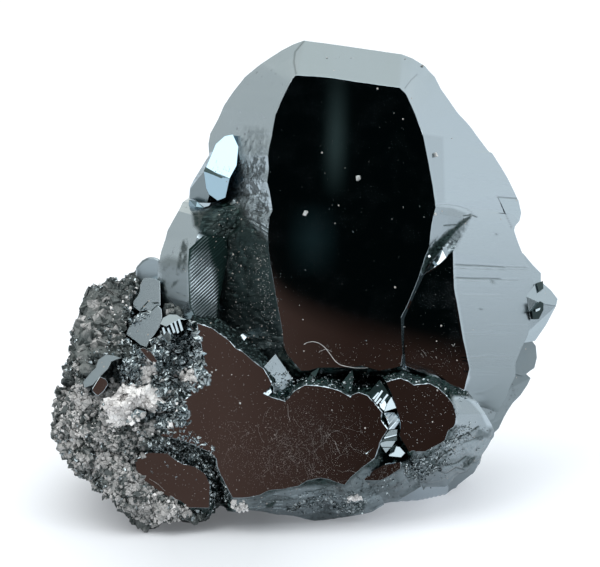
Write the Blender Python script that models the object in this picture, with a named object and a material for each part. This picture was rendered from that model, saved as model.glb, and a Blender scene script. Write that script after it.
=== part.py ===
"""Hematite specimen, about 47 mm wide.

Bright tabular crystals with flat mirror faces and slanting sides are grown together into one
piece. They stand on a lump of granular matrix that carries a patch of quartz.

Every flat face is parallel to one crystal plane, which leans back from the upright. Shapes are
given in that plane: u runs to the right, v runs up the plane and w comes out of it, all in
millimetres from the foot of the crystals. place() turns them into the model's own frame, which
has +Z up, the front towards -Y, and its origin in the middle of the base.
"""

import math
from dataclasses import dataclass

import bmesh
import bpy
import numpy as np
from mathutils import Matrix, Vector

MM = 0.001

# The crystal plane and where its foot is
LEAN = math.radians(15.0)
PLANE_FOOT = Vector((-0.5, -12.0, 0.7))
ACROSS = Vector((1.0, 0.0, 0.0))
UP_PLANE = Vector((0.0, math.sin(LEAN), math.cos(LEAN)))
OUT_OF_PLANE = Vector((0.0, -math.cos(LEAN), math.sin(LEAN)))

# Hematite's slanting faces stand 57.6 degrees from the flat face, so they drop this much per mm
BEVEL_SLOPE = 1.58
STEEP_SLOPE = 4.0
UNDER_SLOPE = 1.25

# Heights of the flat faces, of the hidden back and of the plates' hidden roots
MAIN_FACE = 0.0
STEP_FACE = -1.4
FRONT_PLATE = 2.6
SIDE_PLATE = 1.5
LOW_PLATE = 1.8
SMALL_PLATE = 0.3
BACK_FACE = -20.0
FRONT_ROOT = -7.0
SIDE_ROOT = -9.0
LOW_ROOT = -5.0
SMALL_ROOT = -6.0

GAP = 0.35
CLEAR_IN_FRONT = 3.0
MERGE = 0.001
FLOOR_SIZE = 90.0


def place(u, v, w):
    """Return a point of the crystal plane's frame in the model's frame, in metres."""
    return (PLANE_FOOT + ACROSS * u + UP_PLANE * v + OUT_OF_PLANE * w) * MM


@dataclass(frozen=True)
class Station:
    """One rib of a crystal, from its flat face over its edge to its back.

    face and girdle are (u, v); foot and rim are (u, v, w), and stand between face and
    girdle where a step, a hollow or a ledge breaks the slanting side.
    """

    face: tuple
    girdle: tuple
    foot: tuple = None
    rim: tuple = None
    slope: float = BEVEL_SLOPE


# The big crystal, clockwise from the top left corner of its mirror face
TOP_RIBS = (
    Station((-0.4, 40.1), (0.4, 43.5)),
    Station((3.0, 39.9), (2.9, 43.2)),
    Station((7.3, 39.2), (7.3, 42.5)),
    Station((9.0, 39.0), (9.3, 42.2)),
    Station((9.5, 38.5), (10.4, 41.7)),
    Station((9.9, 37.6), (11.8, 40.7)),
    Station((10.4, 36.6), (12.8, 39.1)),
)
RIGHT_RIBS = (
    Station((10.7, 35.6), (14.3, 37.0)),
    Station((11.2, 34.1), (16.5, 34.5)),
    Station((11.5, 32.7), (17.7, 33.4)),
    Station((11.8, 31.2), (19.0, 31.4)),
    Station((12.1, 28.9), (20.2, 29.1)),
    Station((12.2, 28.2), (20.5, 27.9)),
)
STEP_RIBS = (
    Station((12.0, 27.2), (19.8, 26.7), (12.4, 27.3, -0.9), (14.8, 27.5, -1.9)),
    Station((11.7, 25.9), (20.0, 25.1), (12.4, 25.8, -1.2), (14.2, 25.7, -1.6)),
    Station((11.2, 23.7), (21.0, 23.4), (11.7, 23.2, STEP_FACE), (13.8, 24.2, STEP_FACE)),
    Station((10.3, 20.9), (21.4, 20.8), (10.6, 20.7, STEP_FACE), (13.9, 21.0, STEP_FACE)),
    Station((9.1, 18.3), (21.6, 18.5), (9.4, 18.2, STEP_FACE), (14.3, 18.9, STEP_FACE)),
    Station((9.2, 16.3), (21.3, 15.7), (9.4, 16.2, STEP_FACE), (14.7, 16.5, STEP_FACE)),
    Station((9.1, 14.0), (20.4, 12.7), (9.5, 14.2, STEP_FACE), (15.3, 13.7, STEP_FACE)),
    Station((8.7, 13.8), (19.3, 10.0), (9.6, 13.9, STEP_FACE), (14.8, 11.7, STEP_FACE)),
)
GROOVE_RIBS = (
    Station((8.2, 13.7), (18.2, 7.5), (10.5, 13.3, -2.2), (14.0, 9.5, -2.5)),
    Station((7.1, 13.5), (16.0, 4.0), (9.0, 12.5, -2.6), (12.5, 6.5, -3.0)),
    Station((5.6, 14.0), (11.5, 0.5), (6.6, 12.4, -2.6), (9.5, 4.5, -3.0)),
    Station((2.8, 13.8), (5.0, -1.5), (3.0, 12.2, -2.6), (4.5, 3.5, -3.0)),
    Station((0.8, 13.5), (0.5, -1.5), (0.4, 12.0, -2.6), (0.5, 3.5, -3.0)),
    Station((0.1, 13.5), (-4.5, -1.5), (-1.5, 12.0, -2.6), (-3.5, 3.5, -3.0)),
    Station((-0.4, 14.1), (-9.0, 0.0), (-3.0, 13.0, -2.8), (-7.0, 5.0, -3.0)),
    Station((-1.1, 14.9), (-11.5, 5.0), (-4.4, 14.2, -3.0), (-8.5, 9.0, -2.0)),
)
HOLLOW_RIBS = (
    Station((-1.5, 15.7), (-13.0, 13.0), (-5.4, 15.2, -3.0), (-9.0, 16.0, -0.8)),
    Station((-1.6, 16.9), (-13.7, 18.0), (-6.5, 16.4, -4.0), (-9.3, 18.0, -1.2)),
    Station((-2.2, 20.2), (-13.0, 20.4), (-7.6, 19.9, -4.2), (-10.0, 19.7, -1.5)),
    Station((-2.6, 22.9), (-12.8, 23.3), (-7.4, 23.1, -4.0), (-10.1, 22.8, -1.5)),
    Station((-2.9, 25.8), (-12.3, 25.3), (-6.5, 25.6, -3.4), (-9.4, 25.3, -1.8)),
    Station((-2.5, 28.0), (-11.1, 28.0), (-5.6, 27.7, -3.4), (-8.8, 27.3, -2.4)),
)
LEFT_RIBS = (
    Station((-2.8, 29.7), (-10.3, 29.4)),
    Station((-3.0, 30.5), (-9.8, 30.9)),
    Station((-2.9, 32.9), (-8.3, 33.4)),
    Station((-2.5, 34.7), (-8.2, 35.2)),
    Station((-2.2, 36.6), (-7.0, 37.7)),
    Station((-1.7, 37.9), (-6.1, 39.0)),
    Station((-1.3, 38.6), (-5.0, 40.2)),
    Station((-0.9, 39.4), (-3.6, 41.5)),
)
MAIN_RIBS = TOP_RIBS + RIGHT_RIBS + STEP_RIBS + GROOVE_RIBS + HOLLOW_RIBS + LEFT_RIBS

# Flat faces of the big crystal's back, each through three points (u, v, w)
BACK_PLANES = (
    ((-3.6, 41.9, -6.6), (10.4, 41.9, -6.6), (3.0, 27.5, -20.0)),
    ((11.4, 41.2, -6.4), (20.7, 28.6, -13.8), (12.5, 25.0, -20.0)),
    ((21.4, 27.0, -14.2), (22.2, 15.0, -14.0), (15.8, 19.0, -20.0)),
    ((21.9, 15.0, -13.2), (16.4, 3.6, -14.0), (13.6, 8.5, -20.0)),
    ((-4.8, 41.2, -6.8), (-10.9, 29.4, -12.6), (-1.8, 27.0, -20.0)),
    ((-10.9, 29.4, -12.6), (-13.8, 19.0, -9.5), (-6.0, 20.0, -20.0)),
)

INSIDE_BIG_CRYSTAL = (4.0, 20.0, -8.0)

# The front plate, clockwise from its top left corner; its groove side is steep
FRONT_RIBS = (
    Station((-9.2, 17.8), (-9.8, 18.6), slope=STEEP_SLOPE),
    Station((-7.9, 17.4), (-7.3, 18.2), slope=STEEP_SLOPE),
    Station((-6.3, 16.3), (-5.7, 17.1), slope=STEEP_SLOPE),
    Station((-3.8, 14.1), (-3.1, 14.8), slope=STEEP_SLOPE),
    Station((-2.5, 12.6), (-1.7, 13.0), slope=STEEP_SLOPE),
    Station((-3.0, 11.7), (-2.0, 12.0), slope=STEEP_SLOPE),
    Station((-1.3, 10.8), (-0.9, 11.9), slope=STEEP_SLOPE),
    Station((-0.5, 11.8), (-0.2, 12.7), slope=STEEP_SLOPE),
    Station((0.4, 12.3), (0.6, 13.2), slope=STEEP_SLOPE),
    Station((2.8, 12.0), (3.0, 12.9), slope=STEEP_SLOPE),
    Station((4.5, 11.2), (4.8, 12.3), slope=STEEP_SLOPE),
    Station((6.0, 11.4), (6.6, 12.2), slope=STEEP_SLOPE),
    Station((7.4, 9.8), (8.4, 10.4), slope=STEEP_SLOPE),
    Station((7.9, 8.3), (9.0, 8.4), slope=STEEP_SLOPE),
    Station((7.1, 7.1), (8.4, 6.6), slope=STEEP_SLOPE),
    Station((6.7, 5.8), (8.2, 5.2)),
    Station((5.5, 4.8), (7.4, 1.8), slope=UNDER_SLOPE),
    Station((4.0, 3.3), (5.0, 0.4), slope=UNDER_SLOPE),
    Station((1.9, 4.0), (2.4, -0.1), slope=UNDER_SLOPE),
    Station((-0.2, 3.2), (-0.6, 0.3), slope=UNDER_SLOPE),
    Station((-2.8, 2.8), (-3.2, 0.6), slope=UNDER_SLOPE),
    Station((-4.8, 2.2), (-4.9, 0.9), slope=UNDER_SLOPE),
    Station((-6.0, 2.2), (-6.5, 0.9), slope=UNDER_SLOPE),
    Station((-7.0, 4.1), (-8.0, 3.3), slope=STEEP_SLOPE),
    Station((-7.5, 5.7), (-8.2, 4.9), slope=STEEP_SLOPE),
    Station((-8.9, 6.6), (-9.3, 5.6), slope=STEEP_SLOPE),
    Station((-10.9, 7.4), (-11.4, 6.5), slope=STEEP_SLOPE),
    Station((-12.5, 7.8), (-13.3, 7.6), slope=STEEP_SLOPE),
    Station((-11.3, 9.0), (-12.0, 9.7), slope=STEEP_SLOPE),
    Station((-10.3, 11.0), (-11.2, 11.4), slope=STEEP_SLOPE),
    Station((-8.8, 14.5), (-9.8, 14.8), slope=STEEP_SLOPE),
)
SIDE_RIBS = (
    Station((7.7, 12.6), (7.3, 13.2), slope=STEEP_SLOPE),
    Station((9.0, 12.9), (9.0, 13.8), slope=STEEP_SLOPE),
    Station((10.2, 12.3), (10.5, 13.2), slope=STEEP_SLOPE),
    Station((11.7, 12.4), (12.2, 13.1), slope=STEEP_SLOPE),
    Station((13.1, 11.4), (15.1, 11.6)),
    Station((14.0, 9.6), (16.8, 9.6)),
    Station((13.8, 8.5), (17.4, 7.6)),
    Station((13.0, 7.3), (16.6, 5.4)),
    Station((11.3, 6.3), (14.2, 3.2)),
    Station((9.8, 6.2), (11.2, 2.6)),
    Station((8.9, 7.7), (8.3, 7.2), slope=STEEP_SLOPE),
    Station((9.0, 8.9), (8.3, 8.9), slope=STEEP_SLOPE),
    Station((8.6, 10.3), (8.0, 10.6), slope=STEEP_SLOPE),
)
LOW_RIBS = (
    Station((-14.8, 5.5), (-15.4, 5.8)),
    Station((-13.8, 6.2), (-14.0, 6.9)),
    Station((-12.0, 6.2), (-11.9, 6.9)),
    Station((-10.6, 5.2), (-10.2, 5.9)),
    Station((-8.5, 4.3), (-7.8, 4.8)),
    Station((-8.1, 3.3), (-7.4, 3.3)),
    Station((-8.1, 1.2), (-7.6, 0.7)),
    Station((-10.1, 1.2), (-10.2, 0.6)),
    Station((-11.7, 2.1), (-12.1, 1.5)),
    Station((-14.1, 3.8), (-14.7, 3.4)),
)
SMALL_RIBS = (
    Station((5.7, 3.8), (5.0, 3.4)),
    Station((6.6, 4.6), (6.2, 5.2)),
    Station((7.6, 5.1), (7.4, 5.8)),
    Station((9.1, 5.3), (10.0, 5.6)),
    Station((9.0, 4.7), (11.0, 3.0)),
    Station((8.0, 4.0), (8.8, 1.7)),
    Station((7.0, 3.7), (6.8, 1.3)),
)
PLATES = (
    ("big_crystal", MAIN_RIBS, MAIN_FACE, BACK_FACE),
    ("front_plate", FRONT_RIBS, FRONT_PLATE, FRONT_ROOT),
    ("side_plate", SIDE_RIBS, SIDE_PLATE, SIDE_ROOT),
    ("low_plate", LOW_RIBS, LOW_PLATE, LOW_ROOT),
    ("small_plate", SMALL_RIBS, SMALL_PLATE, SMALL_ROOT),
)

# Corner points (u, v, w) of the small crystals: those seen first, then those of the hidden root
PERCHED_CORNERS = (
    (-6.1, 34.9, -4.2), (-7.6, 34.0, -3.8), (-8.5, 31.9, -2.2), (-6.9, 31.0, -1.4),
    (-5.7, 32.1, -2.2), (-5.6, 33.8, -3.6), (-8.5, 30.0, -1.7), (-7.5, 28.9, -1.8),
    (-6.6, 29.1, -2.2), (-10.0, 30.2, -3.8), (-9.0, 31.3, -3.0), (-8.8, 28.3, -3.0),
    (-10.1, 28.9, -4.2), (-8.6, 32.6, -9.5), (-6.2, 34.0, -8.5), (-5.0, 29.5, -7.0),
    (-9.6, 28.6, -8.5),
)
LEFT_TOP_CORNERS = (
    (-14.7, 23.2, -5.6), (-13.5, 23.9, -5.4), (-12.9, 23.5, -4.6), (-13.0, 22.3, -4.2),
    (-14.4, 21.9, -4.6), (-14.9, 22.3, -5.2), (-14.2, 23.0, -8.6), (-11.5, 23.4, -8.4),
    (-11.6, 21.8, -8.0), (-14.2, 21.8, -8.2),
)
LEFT_MIDDLE_CORNERS = (
    (-14.3, 21.7, -4.6), (-12.9, 21.9, -4.2), (-12.8, 19.8, -3.2), (-13.4, 19.1, -3.0),
    (-15.1, 19.2, -3.8), (-15.3, 19.7, -4.2), (-15.0, 20.6, -7.6), (-11.4, 21.4, -8.0),
    (-11.2, 19.4, -7.4), (-14.6, 19.0, -7.6),
)
LEFT_LOW_CORNERS = (
    (-12.6, 19.4, -2.6), (-12.5, 18.3, -1.8), (-12.8, 17.1, -1.2), (-13.8, 15.6, -0.9),
    (-14.9, 16.3, -1.5), (-15.7, 17.0, -2.4), (-14.3, 18.1, -2.4), (-15.2, 17.0, -6.6),
    (-11.0, 19.0, -6.4), (-11.0, 16.4, -6.2), (-13.6, 15.4, -6.0),
)
COMB_CORNERS = (
    (-12.5, 15.8, 0.2), (-12.5, 17.2, -0.2), (-11.8, 18.2, -0.6), (-10.8, 18.3, -0.4),
    (-10.1, 17.7, 0.2), (-9.9, 16.6, 0.8), (-10.3, 15.7, 0.9), (-11.4, 16.6, 1.0),
    (-12.3, 15.6, -4.0), (-11.6, 18.2, -4.2), (-9.6, 17.6, -4.0), (-9.8, 15.4, -3.6),
)
OUTER_TOP_CORNERS = (
    (20.7, 24.2, -12.2), (22.2, 22.4, -12.4), (23.9, 19.9, -13.8), (22.8, 17.4, -13.4),
    (21.6, 16.2, -12.4), (20.7, 19.6, -10.9), (17.4, 23.4, -17.6), (17.6, 17.0, -18.4),
    (21.2, 19.4, -18.6),
)
OUTER_MIDDLE_CORNERS = (
    (21.9, 16.6, -12.8), (22.1, 14.9, -12.8), (21.1, 13.1, -11.8), (20.3, 13.9, -10.4),
    (21.0, 16.2, -11.0), (16.8, 16.4, -18.0), (17.0, 12.8, -17.2), (20.6, 14.6, -17.0),
)
OUTER_LOW_CORNERS = (
    (20.3, 13.2, -9.6), (21.3, 12.3, -11.4), (20.5, 10.9, -11.2), (19.0, 8.9, -10.2),
    (18.0, 7.5, -8.8), (18.9, 10.2, -8.4), (15.4, 12.2, -17.0), (14.6, 8.0, -15.8),
    (19.2, 10.6, -15.6),
)
SMALL_CRYSTALS = (
    ("perched_crystal", PERCHED_CORNERS),
    ("left_top_crystal", LEFT_TOP_CORNERS),
    ("left_middle_crystal", LEFT_MIDDLE_CORNERS),
    ("left_low_crystal", LEFT_LOW_CORNERS),
    ("comb_crystal", COMB_CORNERS),
    ("outer_top_crystal", OUTER_TOP_CORNERS),
    ("outer_middle_crystal", OUTER_MIDDLE_CORNERS),
    ("outer_low_crystal", OUTER_LOW_CORNERS),
)


@dataclass(frozen=True)
class Tablet:
    """A tabular crystal of the hidden back: its middle, sizes and tilts."""

    name: str
    middle: tuple
    girdle_radius: float
    face_radius: float
    half_thickness: float
    pitch_deg: float
    yaw_deg: float
    spin_deg: float


TABLET_SIDES = 6
BACK_TABLETS = (
    Tablet("back_tablet_right", (6.5, 13.0, -17.5), 8.6, 6.0, 3.6, 172.0, 14.0, 12.0),
    Tablet("back_tablet_left", (-4.2, 17.5, -16.0), 7.2, 4.8, 3.8, 186.0, -20.0, 40.0),
    Tablet("back_tablet_low", (0.5, 5.6, -17.0), 6.8, 4.4, 3.4, 160.0, -6.0, 24.0),
    Tablet("back_tablet_top", (7.4, 27.0, -13.0), 5.6, 3.8, 2.6, 152.0, 10.0, 4.0),
)

# The matrix: a leaning rounded lump, in the model's frame, with rounded lumps over it
MATRIX_MIDDLE = Vector((-13.4, -5.5, 8.2))
MATRIX_LEFT = 10.6
MATRIX_RIGHT = 6.5
MATRIX_FRONT = 6.6
MATRIX_BACK = 16.0
MATRIX_TOP = 12.0
MATRIX_BOTTOM = 10.0
MATRIX_POWER = 2.4
MATRIX_LEAN = 0.5
MATRIX_DIVISIONS = 5

# Its broken sides: the outward direction and the distance from its middle of each
MATRIX_CHIPS = (
    ((-0.7, -0.1, -0.7), 7.9),
    ((-0.95, 0.0, 0.3), 9.9),
)
CHIP_SHARPNESS = 12
LUMP_SEED = 11
LUMP_COUNT = 90
LUMP_RADIUS = (0.16, 0.34)
LUMP_HEIGHT = (0.35, 1.15)

# The quartz patch, clockwise from its left end
QUARTZ_OUTLINE = (
    (-17.7, 10.6), (-16.9, 11.5), (-16.1, 12.1), (-14.6, 12.0), (-13.5, 12.4), (-12.6, 12.0),
    (-12.1, 11.0), (-11.8, 10.2), (-13.0, 9.8), (-14.3, 10.3), (-14.9, 9.4), (-15.7, 8.7),
    (-16.9, 8.5), (-17.5, 9.2),
)
QUARTZ_FRONT = 2.9
QUARTZ_SHOULDER = 2.5
QUARTZ_MIDDLE = 1.9
QUARTZ_BACK = -1.0

# How much of its outline the quartz patch keeps at its front, shoulder and back
QUARTZ_FRONT_SHARE = 0.55
QUARTZ_SHOULDER_SHARE = 0.9
QUARTZ_BACK_SHARE = 0.8

# Colours (linear) and roughnesses
HEMATITE_COLOUR = (0.36, 0.39, 0.42)
HEMATITE_ROUGHNESS = 0.08
MATRIX_COLOUR = (0.2, 0.22, 0.22)
MATRIX_ROUGHNESS = 0.7
QUARTZ_COLOUR = (0.55, 0.52, 0.5)
QUARTZ_ROUGHNESS = 0.6


def ring_centre(ring):
    """Return the mean (u, v) of a ring of points."""
    count = len(ring)
    return sum(p[0] for p in ring) / count, sum(p[1] for p in ring) / count


def grown(ring, amount):
    """Return a clockwise ring of (u, v, w) moved outwards in the plane by amount."""
    if amount == 0.0:
        return ring
    moved = []
    for i, (u, v, w) in enumerate(ring):
        before = ring[i - 1]
        after = ring[(i + 1) % len(ring)]
        along = Vector((after[0] - before[0], after[1] - before[1])).normalized()
        moved.append((u - along.y * amount, v + along.x * amount, w))
    return moved


def ribs_to_rings(ribs, face_depth, back_depth, grow=0.0):
    """Turn ribs into closed rings: face, foot, rim, girdle and back.

    Where a rib has no foot and rim, they lie on its straight slanting side, a third and two
    thirds of the way down. The girdle is as deep as the side's slope takes it. Grown rings
    cut a place for the crystal, and reach far enough forward to leave its face open.
    """
    face, foot, rim, girdle, back = [], [], [], [], []
    for rib in ribs:
        start = rib.rim or (*rib.face, face_depth)
        run = math.dist(start[:2], rib.girdle)
        depth = start[2] - rib.slope * run
        edge = (*rib.girdle, depth)
        top = (*rib.face, face_depth)
        thirds = [tuple(a + (b - a) * t for a, b in zip(top, edge)) for t in (1 / 3, 2 / 3)]
        face.append(top)
        foot.append(rib.foot or thirds[0])
        rim.append(rib.rim or thirds[1])
        girdle.append(edge)
        back.append((*rib.girdle, back_depth))
    rings = [grown(ring, grow) for ring in (face, foot, rim, girdle, back)]
    if grow:
        rings[0] = [(u, v, w + grow) for u, v, w in rings[0]]
        rings[-1] = [(u, v, w - grow) for u, v, w in rings[-1]]
        rings.insert(0, [(u, v, w + CLEAR_IN_FRONT) for u, v, w in rings[0]])
    return rings


def new_object(name, mesh_data, collection, material=None):
    """Write a bmesh into a new object with outward faces.

    Its faces are split into triangles, because a Boolean needs each face to be flat.
    """
    bmesh.ops.triangulate(mesh_data, faces=mesh_data.faces)
    bmesh.ops.recalc_face_normals(mesh_data, faces=mesh_data.faces)
    mesh = bpy.data.meshes.new(name)
    mesh_data.to_mesh(mesh)
    mesh_data.free()
    obj = bpy.data.objects.new(name, mesh)
    collection.objects.link(obj)
    if material:
        mesh.materials.append(material)
    return obj


def as_guide(obj):
    """Mark an object as one that only cuts or joins another."""
    obj.hide_render = True
    obj.display_type = "WIRE"
    return obj


def loft(name, rings, collection):
    """Build a closed solid through rings of (u, v, w) that have the same number of points."""
    solid = bmesh.new()
    loops = [[solid.verts.new(place(*point)) for point in ring] for ring in rings]
    count = len(rings[0])
    for upper, lower in zip(loops, loops[1:]):
        for i in range(count):
            j = (i + 1) % count
            solid.faces.new((upper[i], upper[j], lower[j], lower[i]))
    solid.faces.new(loops[0])
    solid.faces.new(reversed(loops[-1]))
    return as_guide(new_object(name, solid, collection))


def cut_by_planes(obj, planes):
    """Cut a closed solid by planes, each given by three points, and close each cut.

    The side of a plane that holds the crystal's middle stays.
    """
    solid = bmesh.new()
    solid.from_mesh(obj.data)
    middle = place(*INSIDE_BIG_CRYSTAL)
    for first, second, third in planes:
        a, b, c = place(*first), place(*second), place(*third)
        normal = (b - a).cross(c - a).normalized()
        if normal.dot(middle - a) > 0.0:
            normal.negate()
        everything = solid.verts[:] + solid.edges[:] + solid.faces[:]
        cut = bmesh.ops.bisect_plane(
            solid, geom=everything, dist=MERGE * MM, plane_co=a, plane_no=normal, clear_outer=True
        )
        edges = [item for item in cut["geom_cut"] if isinstance(item, bmesh.types.BMEdge)]
        bmesh.ops.edgeloop_fill(solid, edges=edges)
    bmesh.ops.triangulate(solid, faces=solid.faces)
    bmesh.ops.recalc_face_normals(solid, faces=solid.faces)
    solid.to_mesh(obj.data)
    solid.free()


def corner_crystal(name, corners, collection, grow=0.0):
    """Build the convex crystal that has these corner points."""
    solid = bmesh.new()
    middle = Vector([sum(axis) / len(corners) for axis in zip(*corners)])
    for corner in corners:
        outward = (Vector(corner) - middle).normalized() * grow
        solid.verts.new(place(*(Vector(corner) + outward)))
    result = bmesh.ops.convex_hull(solid, input=solid.verts)
    unused = [v for v in result["geom_interior"] if isinstance(v, bmesh.types.BMVert)]
    bmesh.ops.delete(solid, geom=unused, context="VERTS")
    return as_guide(new_object(name, solid, collection))


def tablet_crystal(tablet, collection, grow=0.0):
    """Build a tabular crystal with slanting sides above and below its girdle."""
    pitch = Matrix.Rotation(math.radians(tablet.pitch_deg), 3, "X")
    turn = Matrix.Rotation(math.radians(tablet.yaw_deg), 3, "Y") @ pitch
    rings = []
    levels = (
        (tablet.face_radius, tablet.half_thickness),
        (tablet.girdle_radius, 0.0),
        (tablet.face_radius, -tablet.half_thickness),
    )
    for radius, height in levels:
        ring = []
        for side in range(TABLET_SIDES):
            angle = math.radians(tablet.spin_deg - 360.0 * side / TABLET_SIDES)
            a = (radius + grow) * math.cos(angle)
            b = (radius + grow) * math.sin(angle)
            c = height + (math.copysign(grow, height) if height else 0.0)
            ring.append(tuple(Vector(tablet.middle) + turn @ Vector((a, b, c))))
        rings.append(ring)
    return loft(tablet.name, rings, collection)


def use_boolean(target, other, operation):
    """Add an exact Boolean to target."""
    modifier = target.modifiers.new(f"{operation.lower()} {other.name}", "BOOLEAN")
    modifier.operation = operation
    modifier.solver = "EXACT"
    modifier.object = other


def principled(name, colour, roughness, metallic=0.0):
    """Make a material from a colour, a roughness and a metallic value."""
    material = bpy.data.materials.new(name)
    material.use_nodes = True
    shader = material.node_tree.nodes["Principled BSDF"]
    shader.inputs["Base Color"].default_value = (*colour, 1.0)
    shader.inputs["Roughness"].default_value = roughness
    shader.inputs["Metallic"].default_value = metallic
    material.diffuse_color = (*colour, 1.0)
    return material


def floor_block(collection):
    """Build the block under the floor that cuts the base flat."""
    block = bmesh.new()
    bmesh.ops.create_cube(block, size=FLOOR_SIZE * MM)
    bmesh.ops.translate(block, verts=block.verts, vec=(0.0, 0.0, -FLOOR_SIZE * MM / 2))
    return as_guide(new_object("floor_block", block, collection))


def crystal_shapes(collection, suffix="", grow=0.0):
    """Build every crystal of the group, optionally grown to cut a clear place for it."""
    shapes = [
        loft(name + suffix, ribs_to_rings(ribs, face, back, grow), collection)
        for name, ribs, face, back in PLATES
    ]
    cut_by_planes(shapes[0], BACK_PLANES)
    for name, corners in SMALL_CRYSTALS:
        shapes.append(corner_crystal(name + suffix, corners, collection, grow))
    for tablet in BACK_TABLETS:
        shapes.append(tablet_crystal(tablet, collection, grow))
    return shapes


def hematite_crystals(collection, guides, floor):
    """Join the crystals into one solid and cut its base flat."""
    first, *others = crystal_shapes(guides)
    crystals = bpy.data.objects.new("hematite_crystals", first.data)
    collection.objects.link(crystals)
    bpy.data.objects.remove(first)
    for other in others:
        use_boolean(crystals, other, "UNION")
    use_boolean(crystals, floor, "DIFFERENCE")
    metal = principled("hematite", HEMATITE_COLOUR, HEMATITE_ROUGHNESS, 1.0)
    crystals.data.materials.append(metal)
    return crystals


def lump_field():
    """Return the directions, angular radii and heights of the matrix's rounded lumps."""
    rng = np.random.default_rng(LUMP_SEED)
    directions = rng.normal(size=(LUMP_COUNT, 3))
    directions /= np.linalg.norm(directions, axis=1)[:, None]
    radii = rng.uniform(*LUMP_RADIUS, LUMP_COUNT)
    heights = rng.uniform(*LUMP_HEIGHT, LUMP_COUNT)
    return directions, radii, heights


def matrix_points(directions):
    """Return the matrix's surface along unit directions from its middle, in mm.

    The lump is a superellipsoid with its own half size on each side, flattened softly where
    a broken side lies nearer. Each small lump adds a rounded cap, the tallest cap at a point
    counts, and the whole leans back with height.
    """
    lumps, radii, heights = lump_field()
    half_sizes = np.where(
        directions > 0.0,
        (MATRIX_RIGHT, MATRIX_BACK, MATRIX_TOP),
        (MATRIX_LEFT, MATRIX_FRONT, MATRIX_BOTTOM),
    )
    total = (np.abs(directions / half_sizes) ** MATRIX_POWER).sum(axis=1)
    nearness = total ** (CHIP_SHARPNESS / MATRIX_POWER)
    for outward, distance in MATRIX_CHIPS:
        nearness += (np.clip(directions @ np.array(outward), 0.0, None) / distance) ** CHIP_SHARPNESS
    radius = nearness ** (-1.0 / CHIP_SHARPNESS)
    angles = np.arccos(np.clip(directions @ lumps.T, -1.0, 1.0))
    caps = heights * np.clip(1.0 - (angles / radii) ** 2, 0.0, None)
    points = directions * (radius + caps.max(axis=1) - np.mean(heights) / 2)[:, None]
    points[:, 1] += MATRIX_LEAN * points[:, 2]
    return points + np.array(MATRIX_MIDDLE)


def granular_matrix(collection, guides, floor, quartz_place):
    """Build the lumpy matrix, with clear places for the crystals and the quartz."""
    lump = bmesh.new()
    bmesh.ops.create_icosphere(lump, subdivisions=MATRIX_DIVISIONS, radius=1.0)
    directions = np.array([v.co.normalized() for v in lump.verts])
    for vert, point in zip(lump.verts, matrix_points(directions)):
        vert.co = Vector(point) * MM
    stone = principled("matrix", MATRIX_COLOUR, MATRIX_ROUGHNESS)
    matrix = new_object("granular_matrix", lump, collection, stone)
    for shape in crystal_shapes(guides, "_place", GAP):
        use_boolean(matrix, shape, "DIFFERENCE")
    use_boolean(matrix, quartz_place, "DIFFERENCE")
    use_boolean(matrix, floor, "DIFFERENCE")
    return matrix


def quartz_rings(grow=0.0):
    """Return the rings of the quartz patch, domed in front and narrower behind.

    Grown rings cut a place for it, and reach straight forward so that its dome stays open.
    """
    centre = ring_centre(QUARTZ_OUTLINE)
    dome = ((QUARTZ_FRONT_SHARE, QUARTZ_FRONT), (QUARTZ_SHOULDER_SHARE, QUARTZ_SHOULDER))
    if grow:
        dome = ((1.0, QUARTZ_FRONT + CLEAR_IN_FRONT),)
    levels = (*dome, (1.0, QUARTZ_MIDDLE), (QUARTZ_BACK_SHARE, QUARTZ_BACK - grow))
    rings = []
    for share, level in levels:
        ring = [
            (centre[0] + (u - centre[0]) * share, centre[1] + (v - centre[1]) * share, level)
            for u, v in QUARTZ_OUTLINE
        ]
        rings.append(grown(ring, grow))
    return rings


def quartz_patch(collection):
    """Build the quartz patch."""
    patch = loft("quartz_patch", quartz_rings(), collection)
    patch.hide_render = False
    patch.display_type = "TEXTURED"
    patch.data.materials.append(principled("quartz", QUARTZ_COLOUR, QUARTZ_ROUGHNESS))
    return patch


def main():
    """Clear the scene and build the specimen."""
    for obj in list(bpy.data.objects):
        bpy.data.objects.remove(obj, do_unlink=True)
    specimen = bpy.data.collections.new("hematite_specimen")
    guides = bpy.data.collections.new("guides")
    bpy.context.scene.collection.children.link(specimen)
    bpy.context.scene.collection.children.link(guides)
    floor = floor_block(guides)
    hematite_crystals(specimen, guides, floor)
    quartz_patch(specimen)
    quartz_place = loft("quartz_place", quartz_rings(GAP), guides)
    granular_matrix(specimen, guides, floor, quartz_place)


main()
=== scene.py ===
"""Hematite specimen: the looks of a group of mirror-bright crystals on granular rock.

Shapes are given in the frame of the big crystal's flat face, as in the CAD part: u runs right,
v runs up the face and w comes out of it, in millimetres. A place that is given as seen is an
(x, y) position in the 600 by 567 view with a depth w, and seen() turns it into (u, v, w).
"""

import logging
import math
from dataclasses import dataclass
from enum import Enum

import bmesh
import bpy
import numpy as np
from mathutils import Matrix, Vector
from mathutils.bvhtree import BVHTree

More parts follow.
